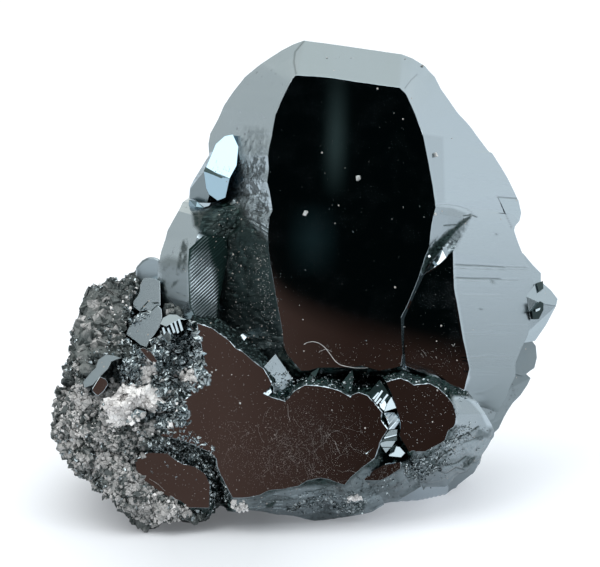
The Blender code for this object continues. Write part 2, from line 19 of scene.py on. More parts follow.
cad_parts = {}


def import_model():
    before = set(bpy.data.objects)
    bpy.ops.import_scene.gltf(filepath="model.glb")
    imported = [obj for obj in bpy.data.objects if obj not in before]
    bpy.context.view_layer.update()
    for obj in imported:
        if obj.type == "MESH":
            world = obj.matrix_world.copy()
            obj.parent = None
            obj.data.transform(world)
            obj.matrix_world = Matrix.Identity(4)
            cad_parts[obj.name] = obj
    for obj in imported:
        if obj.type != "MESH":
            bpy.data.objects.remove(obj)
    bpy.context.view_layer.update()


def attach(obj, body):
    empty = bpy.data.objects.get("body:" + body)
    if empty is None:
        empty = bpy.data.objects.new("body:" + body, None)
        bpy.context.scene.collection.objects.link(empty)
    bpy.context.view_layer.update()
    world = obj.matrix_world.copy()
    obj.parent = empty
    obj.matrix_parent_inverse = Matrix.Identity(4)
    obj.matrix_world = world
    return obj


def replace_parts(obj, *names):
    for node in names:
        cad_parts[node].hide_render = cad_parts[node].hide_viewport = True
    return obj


LOG = logging.getLogger("hematite")

MM = 0.001
LEAN = math.radians(15.0)
PLANE_FOOT = np.array([-0.5, -12.0, 0.7])
ACROSS = np.array([1.0, 0.0, 0.0])
UP_PLANE = np.array([0.0, math.sin(LEAN), math.cos(LEAN)])
OUT_OF_PLANE = np.array([0.0, -math.cos(LEAN), math.sin(LEAN)])

# The view: millimetres of one step of the frame, the eye's distance and the height it looks at
STEP_MM = 0.09
VIEW_DISTANCE = 450.0
AXIS_HEIGHT = 21.375
FRAME_WIDTH = 600.0
FRAME_MIDDLE = np.array([300.0, 283.5])

BEVEL_SLOPE = 1.58
STEEP_SLOPE = 4.0
UNDER_SLOPE = 1.25
MAIN_FACE = 0.0
STEP_FACE = -1.4
FRONT_PLATE = 2.6
SIDE_PLATE = 1.5
LOW_PLATE = 1.8
SMALL_PLATE = 1.4
BACK_FACE = -20.0

Pair = tuple[float, float]
Triple = tuple[float, float, float]
Outline = tuple[Pair, ...]
Marks = dict[str, np.ndarray | float]
Piece = bpy.types.Object
Material = bpy.types.Material
Socket = bpy.types.NodeSocket


def place(points: np.ndarray) -> np.ndarray:
    """Turn (u, v, w) into the model's frame, in millimetres.

    Args:
        points: An array of (u, v, w) rows.

    Returns:
        The foot of the plane plus each value times its axis.
    """
    points = np.asarray(points, float)
    u, v, w = points[..., :1], points[..., 1:2], points[..., 2:]
    return PLANE_FOOT + u * ACROSS + v * UP_PLANE + w * OUT_OF_PLANE


def to_plane(points: np.ndarray) -> np.ndarray:
    """Turn model points in millimetres into (u, v, w)."""
    return (np.asarray(points, float) - PLANE_FOOT) @ np.stack([ACROSS, UP_PLANE, OUT_OF_PLANE], axis=1)


def seen(positions: np.ndarray, depth: np.ndarray | float | None = None) -> np.ndarray:
    """Turn positions in the view with a depth into (u, v, w).

    Args:
        positions: Rows of (x, y), or of (x, y, w).
        depth: The depth w, where the rows don't hold it.

    Returns:
        Rows of (u, v, w). A step of the frame is STEP_MM at depth 0 and shrinks with nearness.
    """
    positions = np.asarray(positions, float)
    w = positions[..., 2] if depth is None else np.broadcast_to(depth, positions.shape[:-1])
    scale = STEP_MM * (VIEW_DISTANCE - w) / VIEW_DISTANCE
    u = (positions[..., 0] - FRAME_MIDDLE[0]) * scale
    v = AXIS_HEIGHT + (FRAME_MIDDLE[1] - positions[..., 1]) * scale
    return np.stack([u, v, w], axis=-1)


def in_view(points: np.ndarray) -> np.ndarray:
    """Return where (u, v, w) points are seen in the frame, as (x, y) rows."""
    scale = VIEW_DISTANCE / (VIEW_DISTANCE - points[..., 2]) / STEP_MM
    x = FRAME_MIDDLE[0] + points[..., 0] * scale
    y = FRAME_MIDDLE[1] - (points[..., 1] - AXIS_HEIGHT) * scale
    return np.stack([x, y], axis=-1)


def lattice(cells: np.ndarray, seed: int) -> np.ndarray:
    """Hash whole-number cells to repeatable values from 0 to 1."""
    x, y, z = (cells[..., i].astype(np.int64) for i in range(3))
    mixed = x * 374761393 + y * 668265263 + z * 1440662683 + seed * 1274126177
    mixed = (mixed ^ (mixed >> 13)) * 1274126177
    mixed = (mixed ^ (mixed >> 15)) * 2246822519
    return ((mixed ^ (mixed >> 16)) & 0xFFFFFF) / float(0xFFFFFF)


def noise(points: np.ndarray, size: float, seed: int = 0, octaves: int = 2) -> np.ndarray:
    """Return smooth noise from -1 to 1.

    Args:
        points: Rows of places.
        size: The size of the largest lumps, in the same unit.
        seed: Chooses the pattern.
        octaves: How many times half-size detail is added, each at half the height.

    Returns:
        One value a row: hashed corner values of a cube lattice, blended smoothly between them.
    """
    total = np.zeros(points.shape[:-1])
    weight = 0.0
    for octave in range(octaves):
        scaled = points / size * 2.0**octave
        cell = np.floor(scaled)
        part = scaled - cell
        part = part * part * (3.0 - 2.0 * part)
        value = np.zeros(points.shape[:-1])
        for corner in np.ndindex(2, 2, 2):
            offset = np.array(corner)
            share = np.prod(np.where(offset, part, 1.0 - part), axis=-1)
            value += share * lattice(cell + offset, seed + octave)
        total += value * 0.5**octave
        weight += 0.5**octave
    return total / weight * 2.0 - 1.0


def facets(points: np.ndarray, size: float, seed: int, tilt: float) -> np.ndarray:
    """Return the height of grains that meet in valleys, each with its own slanting top.

    Args:
        points: Rows of places.
        size: The size of a grain, in the same unit.
        seed: Chooses the pattern.
        tilt: How steeply the tops slant.

    Returns:
        One height a row, in grain sizes: the nearest of one jittered point in each cell owns a
        row, and its height falls with the square of its distance and slants by its own hash.
    """
    scaled = points / size
    base = np.floor(scaled)
    nearest = np.full(points.shape[:-1], 9.0)
    height = np.zeros(points.shape[:-1])
    for shift in np.ndindex(3, 3, 3):
        cell = base + np.array(shift) - 1.0
        jitter = np.stack([lattice(cell, seed + i) for i in range(3)], axis=-1)
        offset = scaled - cell - jitter
        distance = (offset**2).sum(axis=-1)
        slant = np.stack([lattice(cell, seed + 7 + i) for i in range(3)], axis=-1) - 0.5
        own = 0.45 * lattice(cell, seed + 11) + tilt * (offset * slant).sum(axis=-1) - 0.4 * distance
        closer = distance < nearest
        nearest = np.where(closer, distance, nearest)
        height = np.where(closer, own, height)
    return height


def nearest_on(positions: np.ndarray, line: np.ndarray) -> tuple[np.ndarray, np.ndarray]:
    """Return each position's distance to a line through corners, and the nearest place on it."""
    best = np.full(len(positions), np.inf)
    target = positions.copy()
    for start, end in zip(line[:-1], line[1:]):
        along = end - start
        share = np.clip(((positions - start) @ along) / (along @ along + 1e-9), 0.0, 1.0)
        candidate = start + share[:, None] * along
        distance = np.linalg.norm(positions - candidate, axis=1)
        closer = distance < best
        best = np.where(closer, distance, best)
        target = np.where(closer[:, None], candidate, target)
    return best, target


def inside(positions: np.ndarray, outline: Outline, softness: float = 2.0) -> np.ndarray:
    """Return how far inside an outline each position is, from 0 outside to 1 inside.

    Args:
        positions: An array of (x, y), of any shape.
        outline: The corners of a closed outline.
        softness: The width over which the value rises.

    Returns:
        One value a position: the distance to the nearest side, negative outside by a crossing
        test, scaled by the softness and clipped.
    """
    flat = positions.reshape(-1, 2)
    corners = np.asarray(outline, float)
    corners = np.concatenate([corners, corners[:1]])
    low, high = corners.min(axis=0) - softness, corners.max(axis=0) + softness
    close = np.all((flat > low) & (flat < high), axis=1)
    share = np.zeros(len(flat))
    near = flat[close]
    nearest, _ = nearest_on(near, corners)
    within = np.zeros(len(near), bool)
    x, y = near[:, 0], near[:, 1]
    for start, end in zip(corners[:-1], corners[1:]):
        spans = (start[1] > y) != (end[1] > y)
        rise = end[1] - start[1]
        within ^= spans & (x < start[0] + (y - start[1]) * (end[0] - start[0]) / (rise if rise else 1e-9))
    share[close] = np.clip(np.where(within, nearest, -nearest) / softness + 0.5, 0.0, 1.0)
    return share.reshape(positions.shape[:-1])


def snap(positions: np.ndarray, outline: Outline, reach: float, strength: float = 0.94) -> np.ndarray:
    """Move positions on to the nearest side of an outline.

    Args:
        positions: Rows of (x, y).
        outline: The corners of an open or closed line.
        reach: How far away the line still attracts.
        strength: The share of the way that a position moves.

    Returns:
        The moved positions.
    """
    best, target = nearest_on(positions, np.asarray(outline, float))
    pull = strength * np.clip(2.0 - 2.0 * best / reach, 0.0, 1.0)
    return positions + (target - positions) * pull[:, None]


def grid_faces(rows: int, columns: int, start: int = 0) -> np.ndarray:
    """Return the quads of a grid whose rows close on themselves.

    Args:
        rows: How many rows of points there are.
        columns: How many points a row has.
        start: The number of the first point.

    Returns:
        Rows of four point numbers.
    """
    row, column = np.meshgrid(np.arange(rows - 1), np.arange(columns), indexing="ij")
    here = start + row * columns + column
    right = start + row * columns + (column + 1) % columns
    return np.stack([here, right, right + columns, here + columns], axis=-1).reshape(-1, 4)


def normals_of(grid: np.ndarray) -> np.ndarray:
    """Return unit normals of a grid of points whose columns close on themselves."""
    across = np.roll(grid, -1, axis=1) - np.roll(grid, 1, axis=1)
    down = np.gradient(grid, axis=0)
    normal = np.cross(across, down)
    return normal / (np.linalg.norm(normal, axis=-1, keepdims=True) + 1e-9)


class Zone(Enum):
    """The outlines, as seen in the frame, of places with their own surface."""

    LEFT_SIDE = (
        (296, 74), (294, 50), (240, 60), (200, 130), (180, 190), (160, 240), (150, 262), (168, 318),
        (190, 308), (188, 262), (203, 235), (214, 205), (240, 190), (246, 240), (270, 242), (266, 160),
    )
    LEFT_ROUGH = ((262, 132), (236, 128), (232, 160), (228, 200), (240, 232), (266, 240), (266, 160))
    LEFT_LEDGES = ((240, 186), (268, 196), (274, 210), (274, 250), (258, 238), (245, 218))
    DUSTY = (
        (222, 205), (236, 184), (243, 200), (249, 218), (262, 232), (274, 244), (281, 297), (288, 346),
        (297, 368), (288, 379), (262, 368), (246, 352), (222, 336), (214, 327), (222, 290), (226, 262),
        (221, 238), (206, 234),
    )
    CAVE = ((196, 214), (212, 204), (238, 196), (236, 228), (222, 240), (200, 236))
    GROOVE = (
        (283, 346), (296, 366), (310, 372), (352, 369), (392, 370), (424, 371), (444, 382), (466, 394),
        (452, 396), (430, 382), (402, 378), (388, 384), (398, 410), (404, 440), (410, 455), (386, 460),
        (384, 430), (376, 400), (352, 392), (330, 386), (305, 384), (286, 402), (266, 398), (268, 376),
    )
    STEP_MIRROR = (
        (419, 277), (436, 268), (453, 251), (454, 288), (463, 337), (469, 369), (469, 378), (464, 391),
        (454, 389), (443, 380), (432, 369), (405, 362), (402, 320),
    )
    NOTCH = ((434, 206), (452, 208), (466, 213), (453, 250), (436, 268), (420, 278), (426, 256), (431, 233))
    SIDE_SMOOTH = ((452, 394), (480, 400), (498, 428), (474, 436), (450, 432), (457, 414))
    GREEN_PATCH = ((423, 134), (443, 137), (445, 202), (437, 205), (430, 170))
    UNDERSIDE = (
        (228, 488), (246, 498), (298, 487), (345, 485), (364, 468), (400, 470), (414, 453), (446, 441),
        (456, 424), (500, 428), (486, 460), (446, 492), (390, 512), (315, 526), (236, 520),
    )


@dataclass(frozen=True)
class Crack:
    """A thin dark line as seen: its path, half width and darkness, and its depth in millimetres."""

    path: Outline
    width: float = 0.7
    dark: float = 0.8
    depth: float = 0.03

    def share(self, flat: np.ndarray) -> np.ndarray:
        """Return a bell of the distance to the path for rows of (x, y)."""
        line = np.asarray(self.path, float)
        margin = 3.0 * self.width
        low, high = line.min(axis=0) - margin, line.max(axis=0) + margin
        close = np.all((flat > low) & (flat < high), axis=1)
        values = np.zeros(len(flat))
        values[close] = np.exp(-((nearest_on(flat[close], line)[0] / self.width) ** 2))
        return values


@dataclass(frozen=True)
class StainAndShade:
    """A place as seen with its grime, partly dirt and partly painted shade, and the height and size of its
    rough grains in mm.
    """

    outline: Outline
    grime_and_painted_shade: float
    rough: float = 0.0
    size: float = 0.3
    soft: float = 2.0


def add_stains_and_painted_shade(
    grid: np.ndarray, spots: np.ndarray, height: np.ndarray, grime_and_painted_shade: np.ndarray
) -> tuple[np.ndarray, np.ndarray]:
    """Add the cracks, the stains and the painted shade to a surface.

    Args:
        grid: Rows of (u, v, w) points.
        spots: Where each is seen in the frame.
        height: The height to add so far, shaped as the grid.
        grime_and_painted_shade: The darkening so far, from 0 to 1, by grime and by painted shade.

    Returns:
        The height with rough grains in the stains and valleys along the cracks, and the darkening
        by grime and painted shade, which each stain sets to its own and each crack raises.
    """
    flat = spots.reshape(-1, 2)
    torn = np.clip(0.8 + 2.0 * noise(grid, 0.45, 83, 3), 0.0, 1.0)
    for stain_and_shade in STAINS_AND_SHADES:
        share = inside(spots, stain_and_shade.outline, stain_and_shade.soft)
        if stain_and_shade.rough and stain_and_shade.grime_and_painted_shade < 0.95:
            share = share * torn
        if stain_and_shade.rough and share.any():
            height = height + share * stain_and_shade.rough * facets(grid, stain_and_shade.size, 81, 1.8)
        grime_and_painted_shade = grime_and_painted_shade + (stain_and_shade.grime_and_painted_shade - grime_and_painted_shade) * share
    for crack in CRACKS:
        line = crack.share(flat).reshape(height.shape)
        height = height - crack.depth * line
        grime_and_painted_shade = np.maximum(grime_and_painted_shade, crack.dark * line)
    return height, grime_and_painted_shade


# Grime and painted shade by place: the dark notch band, the painted shadow under and beside the perched
# crystal, dark patches of the underside and side plate, dark streaks on the left plate.
STAINS_AND_SHADES = tuple(StainAndShade(*row) for row in (
    (((158, 262), (168, 256), (189, 262), (190, 300), (181, 313), (168, 300), (160, 280)), 0.5, 0.0, 0.2,
        6.0),
    ((
        (470.5, 215.2), (459, 221.9), (453.9, 227.6), (449.4, 229.5), (443, 235.3), (434.1, 242.9),
        (428.7, 249.3), (425.2, 256.3), (420.7, 269.7), (421, 276), (430.3, 263.3), (440.5, 251.2),
        (450.7, 238.5), (456.5, 230.8), (469, 220), (472, 215.5),
    ), 0.97, 0.14),
    ((
        (456.5, 230.8), (469, 220), (471.8, 217.4), (464.1, 231.5), (454.5, 248), (446.9, 257),
        (446.9, 247.4), (450.7, 238.5),
    ), 0.62, 0.1),
    ((
        (236, 162), (240, 160), (249, 166), (246, 175), (243, 190), (252, 198), (250, 205), (238, 207),
        (228, 200), (229, 186),
    ), 0.6, 0.05, 0.5, 5.0),
    (((192, 212), (236, 206), (240, 222), (228, 236), (205, 234), (194, 226)), 0.96, 0.12, 0.4, 4.0),
    ((
        (238, 150), (246, 128), (266, 128), (270, 150), (270, 215), (262, 232), (248, 212), (252, 198),
        (243, 190), (246, 175),
    ), 0.34, 0.01, 0.3, 8.0),
    ((
        (180, 250), (183, 240), (188, 238), (187, 261.5), (186.3, 266), (181.2, 275), (177.4, 275.5),
        (176, 274.2), (176.8, 267.2), (178, 259.6),
    ), 0.85, 0.07, 0.2, 1.5),
    (((178.7, 280), (176, 284.4), (171, 288.3), (173.6, 281.9)), 0.85, 0.05, 0.2, 1.5),
    (((162.7, 269.8), (164.7, 265.3), (170.4, 263), (168.5, 266.6), (164.7, 271)), 0.8, 0.04, 0.2, 1.5),
    (((165.5, 275), (168, 273.6), (168.6, 277), (166, 278.6)), 0.7, 0.04, 0.2, 1.5),
    (((163.4, 281), (165.6, 280), (169.4, 282.4), (167, 284.6)), 0.8, 0.04, 0.2, 1.5),
    (((171.8, 266.6), (174, 266), (174.2, 269), (172.4, 270)), 0.7, 0.04, 0.2, 1.5),
    ((
        (156, 276), (164, 280.6), (167.2, 291.5), (169.8, 301), (174.9, 307.4), (181.2, 311.9), (186, 315),
        (178, 318), (160, 322), (156, 300),
    ), 0.9, 0.06, 0.3, 1.5),
    (((265, 505), (275, 500.5), (277, 502), (272, 506.5), (266, 507.5)), 0.95, 0.1),
    (((275, 499.5), (285, 498), (291, 497.5), (290, 499.5), (280, 501.5)), 0.85, 0.06),
    (((288, 510), (300, 500), (324, 493), (332, 499), (318, 506), (300, 512)), 0.62, 0.14, 0.25, 4.0),
    (((341, 506), (350, 503.5), (366, 502), (364, 510), (350, 515), (342, 512)), 0.85, 0.14, 0.25, 3.0),
    (((345, 492), (364, 486), (384, 484), (380, 496), (364, 497), (346, 497)), 0.7, 0.12, 0.25, 4.0),
    ((
        (453.2, 402), (456.9, 398.9), (465.7, 398.9), (470.8, 401.9), (481, 413.6), (487, 426), (490, 434),
        (480, 429), (468, 434), (457, 438), (449, 438), (457, 425), (456, 412),
    ), 0.32, 0.0, 0.3, 2.0),
    (((461, 444), (484, 437.5), (490.6, 439), (487.7, 447.3), (481, 455.4), (469.3, 455.4), (465, 449)),
        0.4, 0.0, 0.3, 2.0),
    (((447, 446), (461, 446), (466, 452), (455, 458), (445, 462), (441, 458)), 0.36, 0.0, 0.3, 2.0),
    (((463, 462), (468, 456.5), (477, 456), (474, 462), (467, 468), (463, 470)), 0.9, 0.12),
    (((402, 470), (410, 457), (425, 452), (440, 446), (448, 452), (446, 466), (430, 474), (410, 482)),
        0.85, 0.16, 0.25, 3.0),
    (((441, 434), (448, 428), (455, 424), (458, 430), (452, 441), (446, 446)), 0.85, 0.16, 0.25, 3.0),
))
CRACKS = tuple(Crack(*row) for row in (
    (((456, 264.5), (480, 265.5), (505, 267)), 0.8, 0.75),
    (((456, 268), (480, 269), (506, 270)), 0.45, 0.35),
    (((456, 277.5), (478, 278.2), (500, 278.5)), 0.8, 0.75), (((460, 280.7), (492, 281)), 0.45, 0.3),
    (((460, 294), (498, 295)), 0.45, 0.22), (((463, 333.5), (494, 332)), 0.5, 0.26),
    (((465, 357), (478, 357), (492, 354.5)), 0.5, 0.3), (((466, 371), (500, 373)), 0.45, 0.2),
    (((468, 394), (480, 392)), 0.5, 0.3), (((463.5, 215.7), (470, 215)), 0.8, 0.95),
    (((444, 225.5), (450, 225), (456, 224.6)), 0.9, 0.95), (((470, 214), (476.5, 217)), 0.7, 0.9),
    (((436, 205), (448, 204.4), (459, 206), (468, 209), (472, 213)), 0.6, 0.3),
    (((296, 74), (293.8, 62), (295, 52), (304, 41)), 0.8, 0.55, 0.02),
    (((405, 88), (411, 80), (417, 74.5)), 0.6, 0.35, 0.01), (((497.5, 197), (518.5, 198.5)), 0.7, 0.6),
    (((498, 197), (505, 213), (512.5, 229)), 0.6, 0.4),
    (((243.8, 217.4), (254, 220.6), (268.6, 229.5)), 0.9, 0.98, 0.06),
    (((246, 222), (256, 226), (268, 233.5)), 0.8, 0.98, 0.05),
    (((248, 227.5), (258, 231), (268, 237.5)), 0.7, 0.95, 0.04),
    (((250, 233), (259, 236.5), (268, 242)), 0.7, 0.95, 0.04), (((253, 210), (263, 213)), 0.7, 0.85),
    (((254, 214), (262, 216.5)), 0.6, 0.8), (((254, 205.5), (259, 207)), 0.6, 0.8),
    (((258, 199), (262, 203), (266, 209)), 0.9, 0.9),
    (((232, 172), (236, 184), (242, 191)), 0.5, 0.1, -0.03),
    (((306, 493), (317, 490), (331, 486)), 1.1, 0.9, 0.06), (((367, 487.5), (382, 486)), 0.8, 0.85),
    (((451, 440.7), (458.3, 437.8), (467.9, 434), (475.2, 429), (479, 426.8)), 1.2, 0.97, 0.08),
    (((463.5, 443), (475.2, 438.5), (481, 436.3)), 0.9, 0.9, 0.05),
    (((451.5, 443), (468, 436.5), (479, 429.5)), 0.6, 0.0, -0.05),
    (((441, 436), (446, 432), (452, 424)), 1.0, 0.9, 0.06),
    (((457, 430), (462, 427), (468, 425.5)), 0.8, 0.7, 0.03),
    (((441, 457), (449, 451), (456, 447)), 1.2, 0.97, 0.08),
    (((446, 466), (458, 463), (466, 457)), 1.3, 0.97, 0.08),
    (((447, 474), (456, 468), (464, 470)), 1.1, 0.9, 0.06),
    (((470, 464), (478, 461), (484, 456)), 0.9, 0.8, 0.05),
    (((420, 462), (432, 466), (444, 463)), 1.1, 0.8, 0.05),
    (((426, 474), (438, 471), (446, 474)), 1.0, 0.8, 0.05),
    (((300, 503), (312, 500), (326, 501)), 0.9, 0.85, 0.04),
    (((284, 508), (296, 506), (306, 508)), 0.9, 0.8, 0.04),
    (((332, 497), (340, 500), (352, 496)), 0.9, 0.8, 0.04),
    (((366, 500), (374, 496), (388, 492)), 0.8, 0.6, 0.03),
    (((458, 446), (466, 452), (470, 456)), 0.6, 0.5),
    (((454, 265.2), (480, 266), (526, 267.2)), 0.7, 0.5, 0.05),
    (((452, 268.2), (526, 269.4)), 0.6, 0.35, 0.03),
    (((452.6, 278.2), (480, 279), (519, 280)), 0.7, 0.45, 0.05),
    (((455, 280.8), (510, 282)), 0.6, 0.2, 0.03), (((463, 294.6), (503, 295.6)), 0.6, 0.25, 0.02),
    (((490, 324.5), (528, 325.5)), 0.6, 0.2, 0.02),
    (((470, 335.4), (490, 334.2), (516, 334)), 0.7, 0.3, 0.03),
    (((470, 357), (490, 355.8), (513, 356)), 0.7, 0.3, 0.03), (((468, 360), (512, 359)), 0.6, 0.2, 0.02),
    (((490, 368.6), (512, 368.2)), 0.6, 0.25, 0.02), (((471, 376), (500, 375)), 0.6, 0.25, 0.02),
    (((476, 393.5), (486, 391), (498, 384.4)), 0.7, 0.3, 0.03), (((492.6, 280), (493.4, 283.6)), 0.7, 0.6),
    (((495, 236), (496.4, 234)), 0.8, 0.6), (((481, 309), (483, 311)), 0.8, 0.8),
    (((489, 413.5), (494, 410)), 0.9, 0.9, 0.02), (((462, 243), (500, 244)), 0.6, 0.1, 0.01),
    (((176, 292.5), (189, 297.5)), 0.5, 0.6), (((181.9, 311.2), (189.2, 301)), 0.7, 0.8),
    (((183, 311), (188, 301), (190, 298)), 0.7, 0.7),
    (((449.5, 262), (453, 268), (452, 282)), 0.5, 0.0, -0.04),
))


@dataclass(frozen=True)
class Finish:
    """A surface of the specimen: its colour, shine, dust and relief."""

    name: str
    colour: Triple
    roughness: float
    metallic: float = 1.0
    dust: float = 0.0
    lines: float = 0.0
    pits: float = 0.0
    grain: float = 0.0


CRYSTAL = Finish("hematite", (0.40, 0.465, 0.505), 0.025, dust=0.3, lines=0.004, pits=1.0)
SMALL_CRYSTAL = Finish("hematite_small", (0.42, 0.49, 0.53), 0.06, dust=0.2, lines=0.1, pits=2.4)
BLUE_CRYSTAL = Finish("hematite_blue", (0.32, 0.45, 0.53), 0.05, dust=0.2, lines=0.1, pits=2.4)
FLAKE = Finish("hematite_flakes", (0.44, 0.50, 0.52), 0.26, grain=0.2)
STONE = Finish("granular_rock", (0.105, 0.12, 0.117), 0.5, metallic=0.3, grain=1.0)
QUARTZ = Finish("quartz", (0.85, 0.83, 0.815), 0.35, metallic=0.0, grain=0.2)
LINT = Finish("lint", (0.70, 0.71, 0.70), 0.9, metallic=0.0)


class Tree:
    """A node tree with short ways to add and join nodes."""

    def __init__(self, tree: bpy.types.NodeTree) -> None:
        """Keep the tree."""
        self.tree = tree

    def put(self, socket: Socket, value: object) -> None:
        """Join another node's socket to an input, or set the input to a value."""
        if isinstance(value, Socket):
            self.tree.links.new(value, socket)
        else:
            socket.default_value = value

    def feed(self, node: bpy.types.Node, **values: object) -> bpy.types.Node:
        """Set a node's properties and inputs.

        Args:
            node: The node.
            values: Properties by name, or inputs by name with underscores for spaces.

        Returns:
            The node.
        """
        for key, value in values.items():
            if hasattr(node, key):
                setattr(node, key, value)
            else:
                self.put(node.inputs[key.replace("_", " ")], value)
        return node

    def add(self, kind: str, **values: object) -> bpy.types.Node:
        """Add a node of a kind, with properties and inputs as feed() takes them."""
        return self.feed(self.tree.nodes.new(kind), **values)

    def mark(self, name: str) -> Socket:
        """Return a surface mark, an attribute of the piece's points."""
        return self.add("ShaderNodeAttribute", attribute_name=name).outputs["Fac"]

    def cloud(self, where: Socket, scale: object, detail: float, roughness: float = 0.5) -> Socket:
        """Return soft noise of a place."""
        node = self.add("ShaderNodeTexNoise", Vector=where, Scale=scale, Detail=detail, Roughness=roughness)
        return node.outputs["Fac"]

    def dot(self, where: Socket, axis: np.ndarray) -> Socket:
        """Return how far a place reaches along an axis, times the axis's length."""
        node = self.add("ShaderNodeVectorMath", operation="DOT_PRODUCT")
        self.put(node.inputs[0], where)
        self.put(node.inputs[1], tuple(axis))
        return node.outputs["Value"]

    def math(self, operation: str, first: object, second: object = 0.0, clamp: bool = False) -> Socket:
        """Add a Math node on sockets or numbers and return its output."""
        node = self.add("ShaderNodeMath", operation=operation, use_clamp=clamp)
        self.put(node.inputs[0], first)
        self.put(node.inputs[1], second)
        return node.outputs[0]

    def blend(self, share: object, first: object, second: object) -> Socket:
        """Mix two colours, each a socket or three numbers, and return the result."""
        node = self.add("ShaderNodeMix", data_type="RGBA")
        for i, value in ((0, share), (6, first), (7, second)):
            self.put(node.inputs[i], (*value, 1.0) if isinstance(value, tuple) else value)
        return node.outputs[2]

    def between(
        self, value: Socket, low: float, high: float, to_low: float = 0.0, to_high: float = 1.0
    ) -> Socket:
        """Map a value from one range to another, clamped, and return the result."""
        node = self.add("ShaderNodeMapRange", clamp=True)
        for socket, number in zip(node.inputs, (value, low, high, to_low, to_high)):
            self.put(socket, number)
        return node.outputs[0]


def new_group(
    name: str, numbers: dict[str, float], outputs: tuple[str, ...]
) -> tuple[Tree, object, object]:
    """Make an empty node group with named sockets.

    Args:
        name: The group's name.
        numbers: Its float inputs with their default values. A vector input "Vector" comes first.
        outputs: The names of its float outputs.

    Returns:
        The group's tree helper, its inputs' sockets and its output node.
    """
    group = bpy.data.node_groups.new(name, "ShaderNodeTree")
    face = group.interface
    face.new_socket("Vector", in_out="INPUT", socket_type="NodeSocketVector")
    for label, value in numbers.items():
        face.new_socket(label, in_out="INPUT", socket_type="NodeSocketFloat").default_value = value
    for label in outputs:
        face.new_socket(label, in_out="OUTPUT", socket_type="NodeSocketFloat")
    tree = Tree(group)
    return tree, tree.add("NodeGroupInput").outputs, tree.add("NodeGroupOutput")


def new_material(name: str) -> tuple[Material, Tree, bpy.types.Node, Socket]:
    """Make a material and return it with its tree, its shader and Object coordinates."""
    material = bpy.data.materials.new(name)
    material.use_nodes = True
    tree = Tree(material.node_tree)
    shader = material.node_tree.nodes["Principled BSDF"]
    return material, tree, shader, tree.add("ShaderNodeTexCoord").outputs["Object"]


def dust_group() -> bpy.types.NodeTree:
    """Build the group that gives a mask of settled dust specks and a thin uneven veil.

    Returns:
        The group, with Mask (specks and veil together) rising with Amount.
    """
    tree, given, result = new_group("settled_dust", {"Scale": 1.0, "Amount": 0.3}, ("Mask",))
    scale = tree.math("MULTIPLY", given["Scale"], 2600.0)
    cells = tree.add("ShaderNodeTexVoronoi", feature="F1", Vector=given["Vector"], Scale=scale)
    split = tree.add("ShaderNodeSeparateColor", Color=cells.outputs["Color"])
    radius = tree.between(split.outputs[0], 0.0, 1.0, 0.05, 0.24)
    speck = tree.math("LESS_THAN", cells.outputs["Distance"], radius)
    chosen = tree.math("LESS_THAN", split.outputs[1], given["Amount"])
    cloud = tree.cloud(given["Vector"], 420.0, 6.0, 0.65)
    veil = tree.math("MULTIPLY", tree.between(cloud, 0.48, 0.8), given["Amount"])
    specks = tree.math("MULTIPLY", speck, chosen)
    tree.feed(result, Mask=tree.math("ADD", specks, tree.math("MULTIPLY", veil, 0.35), clamp=True))
    return tree.tree


def lines_group() -> bpy.types.NodeTree:
    """Build the group that gives the height of fine straight growth lines across a face.

    Returns:
        The group, with Height, the noise of the place squeezed hard along one axis.
    """
    tree, given, result = new_group("growth_lines", {"Strength": 1.0}, ("Height",))
    x, y, z = (
        tree.dot(given["Vector"], axis * scale)
        for axis, scale in ((ACROSS, 90.0), (OUT_OF_PLANE, 90.0), (UP_PLANE, 5200.0))
    )
    stretched = tree.add("ShaderNodeCombineXYZ", X=x, Y=y, Z=z)
    fine = tree.cloud(stretched.outputs[0], 1.0, 3.0, 0.6)
    tree.feed(result, Height=tree.math("MULTIPLY", tree.between(fine, 0.35, 0.75), given["Strength"]))
    return tree.tree


def pits_group() -> bpy.types.NodeTree:
    """Build the group that gives small sharp pits, as a mask and as a height.

    Returns:
        The group, with Mask at the pits and Height falling into them.
    """
    tree, given, result = new_group("small_pits", {"Scale": 1.0, "Amount": 0.3}, ("Mask", "Height"))
    patches = tree.cloud(given["Vector"], 260.0, 2.0)
    fine = tree.cloud(given["Vector"], tree.math("MULTIPLY", given["Scale"], 1500.0), 5.0, 0.7)
    sum_of = tree.math("ADD", tree.math("MULTIPLY", patches, 0.5), fine)
    limit = tree.between(given["Amount"], 0.0, 1.0, 1.0, 0.72)
    over = tree.math("MULTIPLY", tree.math("SUBTRACT", sum_of, limit), 9.0, clamp=True)
    tree.feed(result, Mask=over, Height=tree.math("SUBTRACT", 1.0, over))
    return tree.tree


def grain_group() -> bpy.types.NodeTree:
    """Build the group that gives grains: a tone from 0 to 1 for each, dark seams and a height.

    Returns:
        The group, with Tone, Seam and Height.
    """
    tree, given, result = new_group("grains", {"Scale": 1.0}, ("Tone", "Seam", "Height"))
    scale = tree.math("MULTIPLY", given["Scale"], 1900.0)
    cells, seams = (
        tree.add("ShaderNodeTexVoronoi", feature=feature, Vector=given["Vector"], Scale=scale)
        for feature in ("F1", "DISTANCE_TO_EDGE")
    )
    split = tree.add("ShaderNodeSeparateColor", Color=cells.outputs["Color"])
    drift = tree.between(tree.cloud(given["Vector"], 330.0, 4.0), 0.3, 0.7, 0.0, 0.4)
    away = seams.outputs["Distance"]
    tree.feed(
        result,
        Tone=tree.math("ADD", tree.math("MULTIPLY", split.outputs[0], 0.6), drift),
        Seam=tree.between(away, 0.0, 0.08, 1.0, 0.0),
        Height=tree.between(away, 0.0, 0.25),
    )
    return tree.tree


